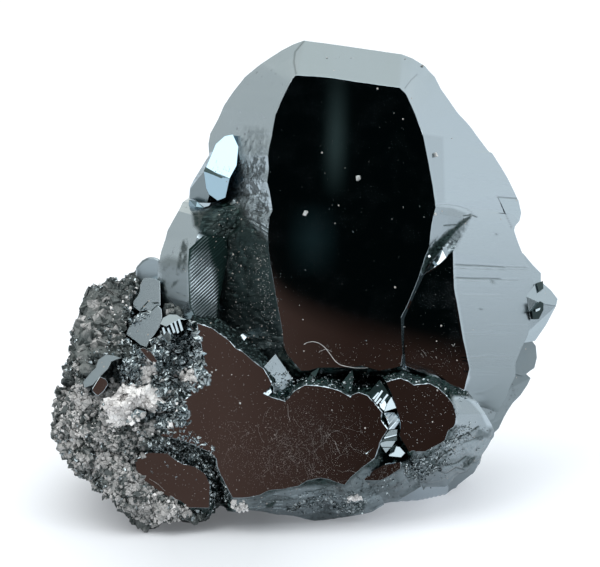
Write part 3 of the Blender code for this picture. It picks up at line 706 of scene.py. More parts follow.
class Paint:
    """Makes the materials, each once, from the finishes and the shared groups."""

    # The grime colour serves dirt and painted shade: hollows, grooves, undersides and dark reflected bands are
    # darkened with it.
    GRIME_AND_SHADE = (0.014, 0.030, 0.028)
    PIT = (0.03, 0.036, 0.037)
    DUST = (0.40, 0.37, 0.34)
    METAL_RELIEF = 0.00003
    GRAIN_RELIEF = 0.00009

    def __init__(self) -> None:
        """Build the shared groups."""
        self.dust = dust_group()
        self.lines = lines_group()
        self.pits = pits_group()
        self.grain = grain_group()

    def metal(self, finish: Finish) -> Material:
        """Make the metal of the crystals.

        Args:
            finish: Its colour, shine, dust, growth lines and pits.

        Returns:
            A material that reads satin, dusty, grime and pitted; grime darkens it as dirt and as painted shade.
        """
        material, tree, shader, where = new_material(finish.name)
        satin, dusty, grime_and_painted_shade, pitted = (tree.mark(name) for name in ("satin", "dusty", "grime_and_painted_shade", "pitted"))
        amount = tree.math("ADD", tree.math("MULTIPLY", dusty, 0.75), 0.06 * finish.dust)
        dust = tree.add("ShaderNodeGroup", node_tree=self.dust, Vector=where, Scale=1.0, Amount=amount)
        mask = dust.outputs["Mask"]
        holes = tree.add(
            "ShaderNodeGroup", node_tree=self.pits, Vector=where, Scale=finish.pits, Amount=pitted
        )
        strength = tree.math("ADD", satin, finish.lines)
        growth = tree.add("ShaderNodeGroup", node_tree=self.lines, Vector=where, Strength=strength)
        # Grime and painted shade: the colour is darkened towards the grime colour by the grime mark.
        grimed_and_shaded = tree.blend(grime_and_painted_shade, finish.colour, self.GRIME_AND_SHADE)
        worn = tree.blend(tree.math("MULTIPLY", holes.outputs["Mask"], 0.8), grimed_and_shaded, self.PIT)
        rough = tree.math("ADD", tree.math("MULTIPLY", satin, 0.13), finish.roughness)
        rough = tree.math("ADD", rough, tree.math("MULTIPLY", grime_and_painted_shade, 0.3))
        low = tree.math("MULTIPLY", growth.outputs["Height"], 0.07)
        relief = tree.math("ADD", low, tree.math("MULTIPLY", holes.outputs["Height"], 1.6))
        relief = tree.math("ADD", relief, tree.math("MULTIPLY", mask, 0.5))
        bump = tree.add("ShaderNodeBump", Strength=0.5, Distance=self.METAL_RELIEF, Height=relief)
        tree.feed(
            shader,
            Base_Color=tree.blend(mask, worn, self.DUST),
            Metallic=tree.math("SUBTRACT", 1.0, mask, clamp=True),
            Roughness=tree.math("ADD", rough, tree.math("MULTIPLY", mask, 0.7), clamp=True),
            Normal=bump.outputs["Normal"],
        )
        return material

    def stone(self, finish: Finish, light: Triple, dark: Triple) -> Material:
        """Make a granular mineral.

        Args:
            finish: Its middle colour, roughness and share of metal.
            light: The colour of its palest grains.
            dark: The colour of its darkest grains.

        Returns:
            The material, whose grains differ in tone, shine and height. It also reads the
            attributes pale, which lightens it, and calm, which evens its grains out.
        """
        material, tree, shader, where = new_material(finish.name)
        grains = tree.add("ShaderNodeGroup", node_tree=self.grain, Vector=where, Scale=1.0).outputs
        pale, calm = tree.mark("pale"), tree.mark("calm")
        drift = tree.math("SUBTRACT", 0.65, grains["Tone"])
        tone = tree.math("ADD", grains["Tone"], tree.math("MULTIPLY", drift, calm))
        tone = tree.math("ADD", tone, tree.math("SUBTRACT", pale, 0.5), clamp=True)
        low = tree.blend(tree.between(tone, 0.15, 0.5), dark, finish.colour)
        colour = tree.blend(tree.between(tone, 0.62, 0.92), low, light)
        seam = tree.math("MULTIPLY", grains["Seam"], tree.between(calm, 0.0, 1.0, 0.5 * finish.grain, 0.0))
        bump = tree.add(
            "ShaderNodeBump", Strength=0.6 * finish.grain, Distance=self.GRAIN_RELIEF, Height=grains["Height"]
        )
        tree.feed(
            shader,
            Base_Color=tree.blend(seam, colour, dark),
            Metallic=tree.between(tone, 0.1, 0.6, 2.5 * finish.metallic, 0.0),
            Roughness=tree.between(tone, 0.1, 0.9, 0.6 * finish.roughness, 1.2 * finish.roughness),
            Normal=bump.outputs["Normal"],
        )
        return material

    def plain(self, finish: Finish) -> Material:
        """Make a grain or fibre material whose tone drifts over the piece."""
        material, tree, shader, where = new_material(finish.name)
        drift = tree.between(tree.cloud(where, 1400.0, 3.0), 0.35, 0.65)
        darker = tuple(0.45 * part for part in finish.colour)
        colour = tree.blend(drift, darker, finish.colour)
        tree.feed(shader, Base_Color=colour, Roughness=finish.roughness, Metallic=finish.metallic)
        return material


class Workshop:
    """Turns worked-out points into finished pieces that ride on the specimen."""

    def __init__(self) -> None:
        """Make the materials."""
        paint = Paint()
        self.crystal = paint.metal(CRYSTAL)
        self.small = paint.metal(SMALL_CRYSTAL)
        self.blue = paint.metal(BLUE_CRYSTAL)
        self.flake = paint.plain(FLAKE)
        self.rock = paint.stone(STONE, (0.50, 0.49, 0.48), (0.05, 0.062, 0.062))
        self.quartz = paint.stone(QUARTZ, (0.95, 0.94, 0.93), (0.64, 0.62, 0.61))
        self.lint = paint.plain(LINT)
        self.made: list[Piece] = []

    def piece(
        self,
        name: str,
        points: np.ndarray,
        faces: list,
        material: Material,
        slot: str,
        marks: Marks | None = None,
        sharp_deg: float | None = 28.0,
        edge: float = 0.0,
        outward: bool = True,
    ) -> Piece:
        """Write a closed mesh and dress it.

        Args:
            name: The piece's name.
            points: Rows of model places, in millimetres. Those under the floor are put on it.
            faces: Lists of point numbers.
            material: Its material.
            slot: The record's material slot. It is not used.
            marks: A value, or one for each point, by attribute name.
            sharp_deg: Edges sharper than this stay crisp. None leaves every face flat.
            edge: The width of a worn bevel on its edges, in millimetres.
            outward: Whether its faces are turned outwards here.

        Returns:
            The object, at the origin.
        """
        points = np.asarray(points, float).copy()
        points[:, 2] = np.maximum(points[:, 2], 0.0)
        mesh = bpy.data.meshes.new(name)
        mesh.from_pydata((points * MM).tolist(), [], faces if isinstance(faces, list) else faces.tolist())
        for label, values in (marks or {}).items():
            layer = mesh.attributes.new(label, "FLOAT", "POINT")
            own = np.broadcast_to(np.asarray(values, float).reshape(-1), len(points))
            layer.data.foreach_set("value", np.clip(own, 0.0, 1.0).astype(np.float32))
        if outward:
            shell = bmesh.new()
            shell.from_mesh(mesh)
            bmesh.ops.recalc_face_normals(shell, faces=shell.faces)
            shell.to_mesh(mesh)
            shell.free()
        mesh.validate()
        if sharp_deg is None:
            mesh.shade_flat()
        else:
            mesh.shade_smooth()
            mesh.set_sharp_from_angle(angle=math.radians(sharp_deg))
        mesh.materials.append(material)
        obj = bpy.data.objects.new(name, mesh)
        bpy.context.scene.collection.objects.link(obj)
        if edge:
            bevel = obj.modifiers.new("worn edges", "BEVEL")
            bevel.width = edge * MM
            bevel.segments = 2
            bevel.limit_method = "ANGLE"
            bevel.angle_limit = math.radians(20.0)
        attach(obj, "root")
        self.made.append(obj)
        return obj

    def rings(
        self, name: str, grid: np.ndarray, material: Material, slot: str, marks: Marks,
        sharp_deg: float = 28.0,
    ) -> Piece:
        """Finish a piece from rows of (u, v, w) that close on themselves, with both ends capped."""
        count, last = grid.shape[1], (len(grid) - 1) * grid.shape[1]
        faces = grid_faces(len(grid), count).tolist()
        faces += [list(range(count)), list(range(last, last + count))]
        return self.piece(name, place(grid.reshape(-1, 3)), faces, material, slot, marks, sharp_deg)

    def surface(self) -> BVHTree:
        """Return a search tree of every piece made so far, in metres."""
        points, faces, start = [], [], 0
        for obj in self.made:
            mesh = obj.data
            own = np.empty(len(mesh.vertices) * 3)
            mesh.vertices.foreach_get("co", own)
            mesh.calc_loop_triangles()
            corner = np.empty(len(mesh.loop_triangles) * 3, np.int32)
            mesh.loop_triangles.foreach_get("vertices", corner)
            points.append(own.reshape(-1, 3))
            faces.append(corner.reshape(-1, 3) + start)
            start += len(mesh.vertices)
        return BVHTree.FromPolygons(np.concatenate(points).tolist(), np.concatenate(faces).tolist())


BACK_PLANES = (
    ((-3.6, 41.9, -6.6), (10.4, 41.9, -6.6), (3.0, 27.5, -20.0)),
    ((11.4, 41.2, -6.4), (20.7, 28.6, -13.8), (12.5, 25.0, -20.0)),
    ((21.4, 27.0, -14.2), (22.2, 15.0, -14.0), (15.8, 19.0, -20.0)),
    ((21.9, 15.0, -13.2), (16.4, 3.6, -14.0), (13.6, 8.5, -20.0)),
    ((-4.8, 41.2, -6.8), (-10.9, 29.4, -12.6), (-1.8, 27.0, -20.0)),
    ((-10.9, 29.4, -12.6), (-13.8, 19.0, -9.5), (-6.0, 20.0, -20.0)),
)


def back_depth(points: np.ndarray) -> np.ndarray:
    """Return the depth of the big crystal's back at (u, v) rows: the highest of its planes there."""
    depth = np.full(points.shape[:-1], BACK_FACE)
    for corners in BACK_PLANES:
        a, b, c = (np.array(corner) for corner in corners)
        normal = np.cross(b - a, c - a)
        plane = a[2] - ((points[..., :2] - a[:2]) @ normal[:2]) / normal[2]
        depth = np.maximum(depth, plane)
    return depth


@dataclass(frozen=True)
class Rib:
    """One rib of a crystal, from the edge of its flat face over its slanting side.

    face and girdle are (u, v). foot and rim are (u, v, w) and break the slanting side.
    """

    face: Pair
    girdle: Pair
    foot: Triple | None = None
    rim: Triple | None = None
    slope: float = BEVEL_SLOPE


@dataclass(frozen=True)
class Stretch:
    """A run of ribs and the spacing of the points along it, in millimetres."""

    ribs: tuple[Rib, ...]
    spacing: float


@dataclass(frozen=True)
class Plate:
    """A crystal with a flat mirror face, slanting sides and a hidden root."""

    name: str
    stretches: tuple[Stretch, ...]
    face_depth: float
    root_depth: float
    rows: tuple[int, int, int]
    face_outline: Outline = ()
    side_outline: Outline = ()
    roughness: float = 0.03
    chamfer: float = 0.02
    seed: int = 1

    def keys(self) -> np.ndarray:
        """Return each rib's places on the face, foot, rim and girdle, as (rib, 4, 3).

        A rib without a foot and rim has them at one and two thirds of its straight side. The
        girdle's depth is its start's, less the slope times the run.
        """
        rows = []
        for rib in (rib for stretch in self.stretches for rib in stretch.ribs):
            top = np.array([*rib.face, self.face_depth])
            start = np.array(rib.rim) if rib.rim else top
            depth = start[2] - rib.slope * math.dist(start[:2], rib.girdle)
            edge = np.array([*rib.girdle, depth])
            foot = np.array(rib.foot) if rib.foot else top + (edge - top) / 3.0
            rim = np.array(rib.rim) if rib.rim else top + (edge - top) / 1.5
            rows.append([top, foot, rim, edge])
        return np.array(rows)

    def lines(self) -> np.ndarray:
        """Return the four key lines sampled finely round the crystal, as (sample, 4, 3).

        Between ribs the places are straight shares of both. Samples then move a little towards
        their neighbours' middle, except near sharp corners, and on to the seen outlines.
        """
        keys = self.keys()
        spacing = np.concatenate([np.full(len(s.ribs), s.spacing) for s in self.stretches])
        after = np.roll(keys, -1, axis=0)
        length = np.linalg.norm(after - keys, axis=2)[:, (0, 3)].max(axis=1)
        counts = np.maximum(2, np.ceil(length / spacing)).astype(int)
        samples = []
        for here, there, count in zip(keys, after, counts):
            share = (np.arange(count) / count)[:, None, None]
            samples.append(here + (there - here) * share)
        lines = np.concatenate(samples)
        for _ in range(6):
            middle = (np.roll(lines, 1, axis=0) + np.roll(lines, -1, axis=0)) / 2.0
            bend = np.linalg.norm(middle - lines, axis=2, keepdims=True)
            lines += (middle - lines) * 0.7 * np.exp(-((bend / 0.02) ** 2))
        for level, outline, reach in ((0, self.face_outline, 9.0), (3, self.side_outline, 12.0)):
            if outline:
                moved = snap(in_view(lines[:, level]), outline, reach)
                lines[:, level] = seen(moved, lines[:, level, 2])
        ragged = noise(lines, 0.7, self.seed, 3)[..., None] * self.roughness
        outward = lines[..., :2] - lines[:, :1, :2].mean(axis=0)
        outward /= np.linalg.norm(outward, axis=2, keepdims=True) + 1e-9
        lines[..., :2] += outward * ragged
        return lines

    def grid(self) -> np.ndarray:
        """Return the rows of points from the mirror face over the side to the root.

        The first rows are a small chamfer, the next are straight shares between the key lines,
        and the last go straight back and draw in to the hidden root.
        """
        lines = self.lines()
        rows = []
        inward = lines[:, 0].copy()
        direction = lines[:, 3, :2] - lines[:, 0, :2]
        direction /= np.linalg.norm(direction, axis=1, keepdims=True) + 1e-9
        inward[:, :2] -= direction * self.chamfer
        rows.append(inward)
        lines[:, 0, 2] -= self.chamfer * 0.6
        for level, count in enumerate(self.rows):
            share = (np.arange(count) / count)[:, None, None]
            rows.extend(lines[:, level] + (lines[:, level + 1] - lines[:, level]) * share)
        rows.append(lines[:, 3])
        rows.extend(self.root(lines[:, 3]))
        return np.array(rows)

    def root(self, girdle: np.ndarray) -> list[np.ndarray]:
        """Return the rows of the hidden root, which draws in as it goes straight back."""
        centre = np.append(girdle[:, :2].mean(axis=0), 0.0)
        rows = []
        for share, depth in ((0.985, 0.25), (0.9, 0.8), (0.8, 1.0)):
            row = centre + (girdle - centre) * share
            back = np.minimum(self.root_depth, girdle[:, 2] - 1.0)
            row[:, 2] = girdle[:, 2] + (back - girdle[:, 2]) * depth
            rows.append(row)
        rows[-1][:, 2] = rows[-1][:, 2].min()
        return rows

    def relief(self, grid: np.ndarray, spots: np.ndarray) -> tuple[np.ndarray, Marks]:
        """Return the height to add at each point and the surface marks.

        Args:
            grid: Rows of (u, v, w) points.
            spots: Where each is seen in the frame.

        Returns:
            Heights in millimetres and values by attribute name, both shaped as the grid.
        """
        under = inside(spots, Zone.UNDERSIDE.value, 4.0)
        groove = inside(spots, Zone.GROOVE.value, 6.0)
        bare = 0.95 * inside(spots, Zone.SIDE_SMOOTH.value, 5.0)
        sparkle = facets(grid, 0.4, 27, 1.8)
        steep = np.ones(grid.shape[:2])
        steep[:2] = 0.0
        ledge = np.round(noise(grid * (0.5, 1.6, 1.6), 1.1, 41, 3) * 2.2) / 2.2
        rough = facets(grid * (0.7, 1.0, 1.0), 0.55, 17, 1.2)
        broken = np.clip(noise(grid * (0.45, 1.0, 1.0), 1.5, 77, 3) * 4.0 + 0.2, 0.0, 1.0)
        height = under * steep * (0.12 * ledge + 0.12 * rough * broken)
        height += 0.16 * sparkle * steep * (1.0 - under) * (1.0 - bare)
        # Painted shade: steep sides are dark except on the bare smooth facet, the underside is darkened as a
        # painted reflection of the shaded floor below it, and the groove is dark.
        grime_and_painted_shade = under * (0.48 + 0.2 * broken) + groove + (1.0 - under) * (0.95 - bare)
        height, grime_and_painted_shade = add_stains_and_painted_shade(grid, spots, height, np.clip(grime_and_painted_shade, 0.0, 1.0))
        # Painted shade: the chamfer is darker where the edge faces down, so only upper edges keep a bright rim.
        grime_and_painted_shade[1] = np.clip((grid[1, :, 1] - grid[4, :, 1]) * 8.0, 0.0, 0.9)
        marks = {
            "satin": steep * (0.55 + 0.45 * under),
            "dusty": (0.18 * under + 0.1) * steep,
            "grime_and_painted_shade": grime_and_painted_shade * (np.arange(len(grid)) > 0)[:, None],
            "pitted": under * (0.2 + 0.4 * broken) * steep,
        }
        return height, marks

    def build(self, shop: Workshop) -> Piece:
        """Build the piece.

        Args:
            shop: Where it is finished.

        Returns:
            The piece.
        """
        grid = self.grid()
        spots = in_view(grid)
        height, marks = self.relief(grid, spots)
        fade = np.ones(len(grid))
        fade[:2] = 0.0
        fade[sum(self.rows) + 1 :] = 0.0
        grid = grid + normals_of(grid) * (height * fade[:, None])[..., None]
        return shop.rings(self.name, grid, shop.crystal, "hematite", marks)


RIGHT_EDGE = (12.2, 28.3)
RIGHT_EDGE_LEAN = 0.159
RIGHT_EDGE_SLOPE = 1.56


@dataclass(frozen=True)
class BigCrystal(Plate):
    """The big crystal: its sides carry growth steps, pits, a dusty hollow and a broken notch."""

    def lines(self) -> np.ndarray:
        """Return the key lines, with the girdle below the step laid on the upper right side's plane.

        That plane falls by its slope times the distance from the mirror face's straight right
        edge, which leans by RIGHT_EDGE_LEAN.
        """
        lines = super().lines()
        face, girdle = lines[:, 0], lines[:, 3]
        low = (face[:, 0] > 8.5) & (face[:, 1] < 28.2) & (girdle[:, 0] > 15.0) & (girdle[:, 1] > 8.0)
        edge = RIGHT_EDGE[0] + RIGHT_EDGE_LEAN * (RIGHT_EDGE[1] - girdle[:, 1])
        girdle[:, 2] = np.where(low, (edge - girdle[:, 0]) * RIGHT_EDGE_SLOPE, girdle[:, 2])
        return lines

    def root(self, girdle: np.ndarray) -> list[np.ndarray]:
        """Return the rows of the hidden root, which draws in just in front of the back planes."""
        centre = np.array([3.0, 20.0, 0.0])
        rows = []
        for share in (0.985, 0.9, 0.75, 0.6, 0.45):
            row = centre + (girdle - centre) * share
            row[:, 2] = np.minimum(np.maximum(back_depth(row) + 0.9, self.root_depth), girdle[:, 2] - 0.2)
            rows.append(row)
        rows[-1][:, 2] = rows[-1][:, 2].min()
        return rows

    def relief(self, grid: np.ndarray, spots: np.ndarray) -> tuple[np.ndarray, Marks]:
        """Return the height to add at each point and the surface marks.

        Each seen zone adds its own relief: worn pits on the left, ledges above the hollow, grains
        in it and in the groove, shards in the notch, and thin level steps on the right.
        """

        def zone(which: Zone, softness: float) -> np.ndarray:
            """Return a zone's share at each point."""
            return inside(spots, which.value, softness)

        left, rough_left = zone(Zone.LEFT_SIDE, 6.0), zone(Zone.LEFT_ROUGH, 10.0)
        ledges, dusty = zone(Zone.LEFT_LEDGES, 6.0), zone(Zone.DUSTY, 6.0)
        cave = zone(Zone.CAVE, 6.0)
        groove, step = zone(Zone.GROOVE, 4.0), zone(Zone.STEP_MIRROR, 2.0)
        notch, green = zone(Zone.NOTCH, 2.0), zone(Zone.GREEN_PATCH, 3.0)
        x, y = spots[..., 0], spots[..., 1]
        hidden = 1.0 - step
        pock = np.clip(noise(grid, 0.32, 5, 2) * 4.0 - 1.9, 0.0, 1.0)
        patch = np.clip(noise(grid, 2.2, 9, 2) * 2.5 + 0.3, 0.0, 1.0)
        height = -0.015 * pock * (0.25 * left + 0.9 * rough_left) * patch
        height += 0.003 * noise(grid, 0.9, 3, 2) * rough_left
        wave = (y + 0.18 * x) / 4.2 + 0.5 * noise(grid, 2.0, 21, 2)
        height += 0.012 * ledges * np.abs(wave - np.round(wave)) * 2.0
        grains = facets(grid, 0.5, 61, 1.4)
        height += dusty * (0.12 * grains + 0.10 * noise(grid, 1.3, 23, 3))
        height += cave * 0.25 * noise(grid, 1.2, 29, 3)
        height += groove * hidden * (0.22 * facets(grid, 0.7, 67, 1.5) + 0.2 * noise(grid, 1.0, 31, 2))
        height += notch * 0.012 * facets(grid, 0.5, 71, 1.2)
        # Grime and painted shade: full in the cave under the perched crystal and in the groove, where shade
        # falls; high in the dusty hollow, less towards its bottom; rising towards the bottom on the lower
        # right; a little in the notch and the green patch.
        lower_right = (x > 448.0) * np.clip((y - 200.0) / 420.0, 0.0, 0.5) * hidden
        paler = 0.95 - 0.12 * np.clip((y - 300.0) / 50.0, 0.0, 1.0)
        grime_and_painted_shade = paler * dusty + cave + groove + 0.3 * notch + 0.12 * green + lower_right
        height, grime_and_painted_shade = add_stains_and_painted_shade(grid, spots, height, np.clip(grime_and_painted_shade, 0.0, 1.0))
        height *= hidden
        edge = np.ones(grid.shape[:2])
        edge[:1] = 0.0
        satin = np.clip(edge * hidden * (1.0 - 0.5 * green), 0.0, 1.0)
        marks = {
            "satin": satin,
            "dusty": np.clip(0.28 * dusty + 0.05 * cave + 0.3 * groove * hidden + 0.08 * step, 0.0, 1.0) * edge,
            "grime_and_painted_shade": grime_and_painted_shade * hidden * edge,
            "pitted": np.clip(0.35 * left + 0.5 * rough_left + 0.5 * ledges + 0.04, 0.0, 1.0) * hidden * edge,
        }
        return height, marks


FACE_LINE = (
    (296, 75), (314.4, 76), (333.5, 77.8), (357.4, 81.7), (381.3, 85), (399.5, 87.4), (405.3, 93.2),
    (407, 95.7), (410.2, 102.9), (415.3, 114), (419.4, 125.3), (423, 134.5), (424.5, 141.6), (427.6, 158),
    (430.6, 174.3), (432.7, 185.5), (434.7, 199.8), (435.7, 208), (432.8, 218.7), (430.5, 233.6),
    (429.4, 247.4), (424.8, 257.7), (419.6, 275), (414.4, 288.7), (407.6, 304.8), (401.2, 317.4),
    (401.8, 340), (402.9, 353.5), (400.8, 365.7), (391.6, 368.8), (379.4, 370.8), (362, 365.7),
    (351.8, 367.8), (331.4, 367.8), (318, 367.8), (309, 370.8), (300.8, 370.8), (295.7, 364.7),
    (287.6, 355.5), (283.5, 346.3), (282.6, 333), (279.3, 314.6), (276, 297.2), (273.3, 281),
    (270.6, 266.9), (268.5, 251.7), (268, 234.3), (269.3, 216.4), (272.4, 210.2), (269.3, 191.4),
    (267, 182.5), (268.8, 170), (268, 156.3), (269, 147.7), (271.9, 135.3), (273.3, 125.7), (275.7, 114.2),
    (281.4, 99.9), (289, 84.5), (292.9, 77.8), (296, 75),
)
SKY_LINE = (
    (154, 318), (155.5, 296), (158, 272), (160, 256), (161.4, 250.2), (165, 240), (167.6, 230), (180, 208),
    (182.7, 202), (189, 197.7), (189.8, 187.9), (193.4, 180.7), (200.5, 169), (205.9, 160), (209, 155.5),
    (208.4, 143), (210.5, 133), (218.3, 119), (224, 105.6), (233.6, 91.2), (245, 76.9), (256.6, 67.3),
    (270, 57.8), (280.5, 51), (292.9, 44.4), (304, 40.5), (330, 44), (365, 49), (402, 54.4), (412, 58),
    (425, 66), (429, 71), (435, 77), (441, 89), (448, 99), (457, 112), (470, 126), (480, 140), (489, 152),
    (492, 153), (501, 167), (508, 179), (513, 189), (518, 200), (521, 213), (519.5, 221), (513, 228),
    (514, 232.5), (521, 251), (525, 259), (529, 270), (534, 284), (536, 291), (532, 313), (528, 335),
    (520, 350), (514.5, 363), (515, 376), (509.6, 386), (504.5, 398), (498, 407), (494.5, 416), (491, 433),
)

TOP = Stretch((Rib((-0.4, 40.1), (0.4, 43.5)), Rib((3.0, 39.9), (2.9, 43.2)),
    Rib((7.3, 39.2), (7.3, 42.5)), Rib((9.0, 39.0), (9.3, 42.2)), Rib((9.5, 38.5), (10.4, 41.7)),
    Rib((9.9, 37.6), (11.8, 40.7)), Rib((10.4, 36.6), (12.8, 39.1))), 0.12)
RIGHT = Stretch((Rib((10.7, 35.6), (14.3, 37.0)), Rib((11.2, 34.1), (16.5, 34.5)),
    Rib((11.5, 32.7), (17.7, 33.4)), Rib((11.8, 31.2), (19.0, 31.4)), Rib((12.1, 28.9), (20.2, 29.1)),
    Rib((12.2, 28.3), (20.5, 27.9))), 0.09)
STEP_SIDE = Stretch((Rib((12.2, 28.0), (20.4, 27.4), (13.4, 27.9, -1.8), (15.7, 27.6, -5.3)),
    Rib((12.1, 27.6), (20.0, 26.7), (13.4, 27.5, -1.6), (15.6, 27.2, -5.0)),
    Rib((11.7, 25.9), (20.3, 25.1), (12.6, 25.9, -1.2), (14.6, 25.7, -3.1)),
    Rib((11.2, 23.7), (21.0, 23.4), (11.7, 23.2, STEP_FACE), (13.8, 24.2, STEP_FACE)),
    Rib((10.3, 20.9), (21.8, 20.8), (10.5, 20.7, STEP_FACE), (13.9, 21.0, STEP_FACE)),
    Rib((9.1, 18.3), (21.3, 18.6), (9.4, 18.2, STEP_FACE), (14.3, 18.9, STEP_FACE)),
    Rib((9.2, 16.3), (20.6, 15.8), (9.4, 16.2, STEP_FACE), (14.7, 16.5, STEP_FACE)),
    Rib((9.1, 14.0), (19.8, 12.9), (9.5, 14.2, STEP_FACE), (15.3, 13.7, STEP_FACE)),
    Rib((8.7, 13.8), (18.6, 10.6), (9.6, 13.9, STEP_FACE), (14.8, 11.7, STEP_FACE))), 0.08)
GROOVE_SIDE = Stretch((Rib((8.2, 13.7), (17.5, 8.0), (10.5, 13.3, -2.2), (14.0, 9.5, -2.5)),
    Rib((7.1, 13.5), (16.0, 4.0), (9.0, 12.5, -2.6), (12.5, 6.5, -3.0)),
    Rib((5.6, 14.0), (11.5, 0.5), (6.6, 12.4, -2.6), (9.5, 4.5, -3.0)),
    Rib((2.8, 13.8), (5.0, -1.5), (3.0, 12.2, -2.6), (4.5, 3.5, -3.0)),
    Rib((0.8, 13.5), (0.5, -1.5), (0.4, 12.0, -2.6), (0.5, 3.5, -3.0)),
    Rib((0.1, 13.5), (-4.5, -1.5), (-1.5, 12.0, -2.6), (-3.5, 3.5, -3.0)),
    Rib((-0.4, 14.1), (-9.0, 0.0), (-3.0, 13.0, -2.8), (-7.0, 5.0, -3.0)),
    Rib((-1.1, 14.9), (-11.5, 5.0), (-4.4, 14.2, -3.0), (-8.5, 9.0, -2.0))), 0.2)
HOLLOW_SIDE = Stretch((Rib((-1.5, 15.7), (-13.3, 16.0), (-5.4, 15.2, -3.0), (-9.0, 16.0, -0.3)),
    Rib((-1.6, 16.9), (-13.2, 18.2), (-6.5, 16.4, -4.0), (-9.3, 18.0, -0.5)),
    Rib((-2.2, 20.2), (-13.0, 20.4), (-7.6, 19.9, -4.2), (-10.0, 19.7, -1.1)),
    Rib((-2.6, 22.9), (-12.8, 23.3), (-7.4, 23.1, -4.0), (-10.1, 22.8, -1.7)),
    Rib((-2.9, 25.8), (-12.3, 25.3), (-6.5, 25.6, -3.4), (-9.4, 25.3, -2.3)),
    Rib((-2.5, 28.0), (-11.1, 28.0), (-5.6, 27.7, -3.4), (-8.8, 27.3, -3.0))), 0.09)
LEFT = Stretch((Rib((-2.8, 29.7), (-10.3, 29.4)), Rib((-3.0, 30.5), (-9.8, 30.9)),
    Rib((-2.9, 32.9), (-8.3, 33.4)), Rib((-2.5, 34.7), (-8.2, 35.2)), Rib((-2.2, 36.6), (-7.0, 37.7)),
    Rib((-1.7, 37.9), (-6.1, 39.0)), Rib((-1.3, 38.6), (-5.0, 40.2)), Rib((-0.9, 39.4), (-3.6, 41.5))),
    0.1)
BIG_CRYSTAL = BigCrystal("big_crystal", (TOP, RIGHT, STEP_SIDE, GROOVE_SIDE, HOLLOW_SIDE, LEFT), MAIN_FACE,
    -14.0, (25, 20, 23), FACE_LINE, SKY_LINE, 0.02)

FRONT_FACE_LINE = (
    (197, 323), (212, 328), (218.6, 333), (229.4, 340.6), (236, 348.8), (242.4, 351.5), (249, 357),
    (257.6, 364.5), (263.6, 368.3), (268.5, 376.4), (272, 384), (264.3, 393.3), (271, 397.3),
    (285.5, 401.4), (294.7, 391), (304.9, 385), (317, 385.6), (331.4, 388), (339.6, 391), (350.8, 397.3),
    (353.9, 390), (367, 395.3), (375.3, 403.5), (382.4, 412.7), (378.9, 417.2), (383.5, 424), (388, 429.5),
    (383.5, 436), (379.4, 443.3), (378.9, 447.3), (375, 457.5), (361, 469), (351, 477), (345, 485),
    (340.5, 484), (329, 479.4), (321, 478.2), (307.3, 480.5), (298, 486.3), (284.3, 489), (268.2, 490.8),
    (259, 495.4), (246.4, 497.7), (233, 498), (227, 487.5), (221.8, 476.8), (217.3, 467.9), (216.4, 458.9),
    (209.3, 451.8), (200.4, 448.2), (191.4, 443.8), (178, 439.3), (160, 435.7), (173.6, 423), (193, 427.7),
    (188, 414), (184.3, 400), (198, 392), (210, 384), (206, 368), (202, 349), (197, 323),
)
FRONT_SIDE_LINE = (
    (400, 503), (384, 505), (372.7, 512), (355.5, 515.5), (329, 519.5), (315, 521), (305, 519),
    (293.5, 515.5), (277, 514.4), (265, 512), (247.5, 509), (240, 513),
)
SIDE_FACE_LINE = (
    (386, 381.6), (400.5, 378), (408, 381), (413.9, 385), (430, 383.4), (438, 388), (446, 395), (453, 404),
    (456, 414.6), (455.4, 423.6), (454, 427), (448, 430.7), (445, 440.5), (439, 444), (425.5, 451.3),
    (415.7, 452), (413, 448.6), (409.5, 453), (406, 446), (399.6, 436), (400.5, 422.7), (396, 407.5),
    (391.6, 394), (386, 381.6),
)
SIDE_SIDE_LINE = (
    (478, 403), (485, 413), (492, 425), (496, 434), (491.4, 440), (487.4, 447), (481, 455.5), (481, 458),
    (474.8, 462), (467.4, 471.8), (464, 472.8), (456, 474.5), (452, 480.7), (446, 487), (425.5, 486.5),
    (421, 492.3), (411, 496.8), (400, 503),
)
LOW_FACE_LINE = (
    (135, 460.7), (146.8, 452.7), (166.4, 452.7), (174.5, 459), (182.5, 463.4), (196, 467), (205.7, 474),
    (210.2, 484.8), (209.3, 508), (187.9, 508), (181.6, 501), (170, 498), (155.7, 489), (143, 479.5),
    (136, 471), (135, 460.7),
)
SMALL_FACE_LINE = (
    (363.5, 479.4), (373.8, 470), (385, 464.4), (401.4, 462), (400.5, 469), (389, 476.3), (380, 480.6),
    (364.7, 480.5), (363.5, 479.4),
)
FRONT_UNDER = (
    Rib((6.7, 5.8), (8.2, 5.2)), Rib((5.5, 4.8), (7.4, 1.8), slope=UNDER_SLOPE),
    Rib((4.0, 3.3), (5.0, 0.4), slope=UNDER_SLOPE), Rib((1.9, 4.0), (2.4, -0.1), slope=UNDER_SLOPE),
    Rib((-0.2, 3.2), (-0.6, 0.3), slope=UNDER_SLOPE), Rib((-2.8, 2.8), (-3.2, 0.6), slope=UNDER_SLOPE),
    Rib((-4.8, 2.2), (-4.9, 0.9), slope=UNDER_SLOPE), Rib((-6.0, 2.2), (-6.5, 0.9), slope=UNDER_SLOPE),
)
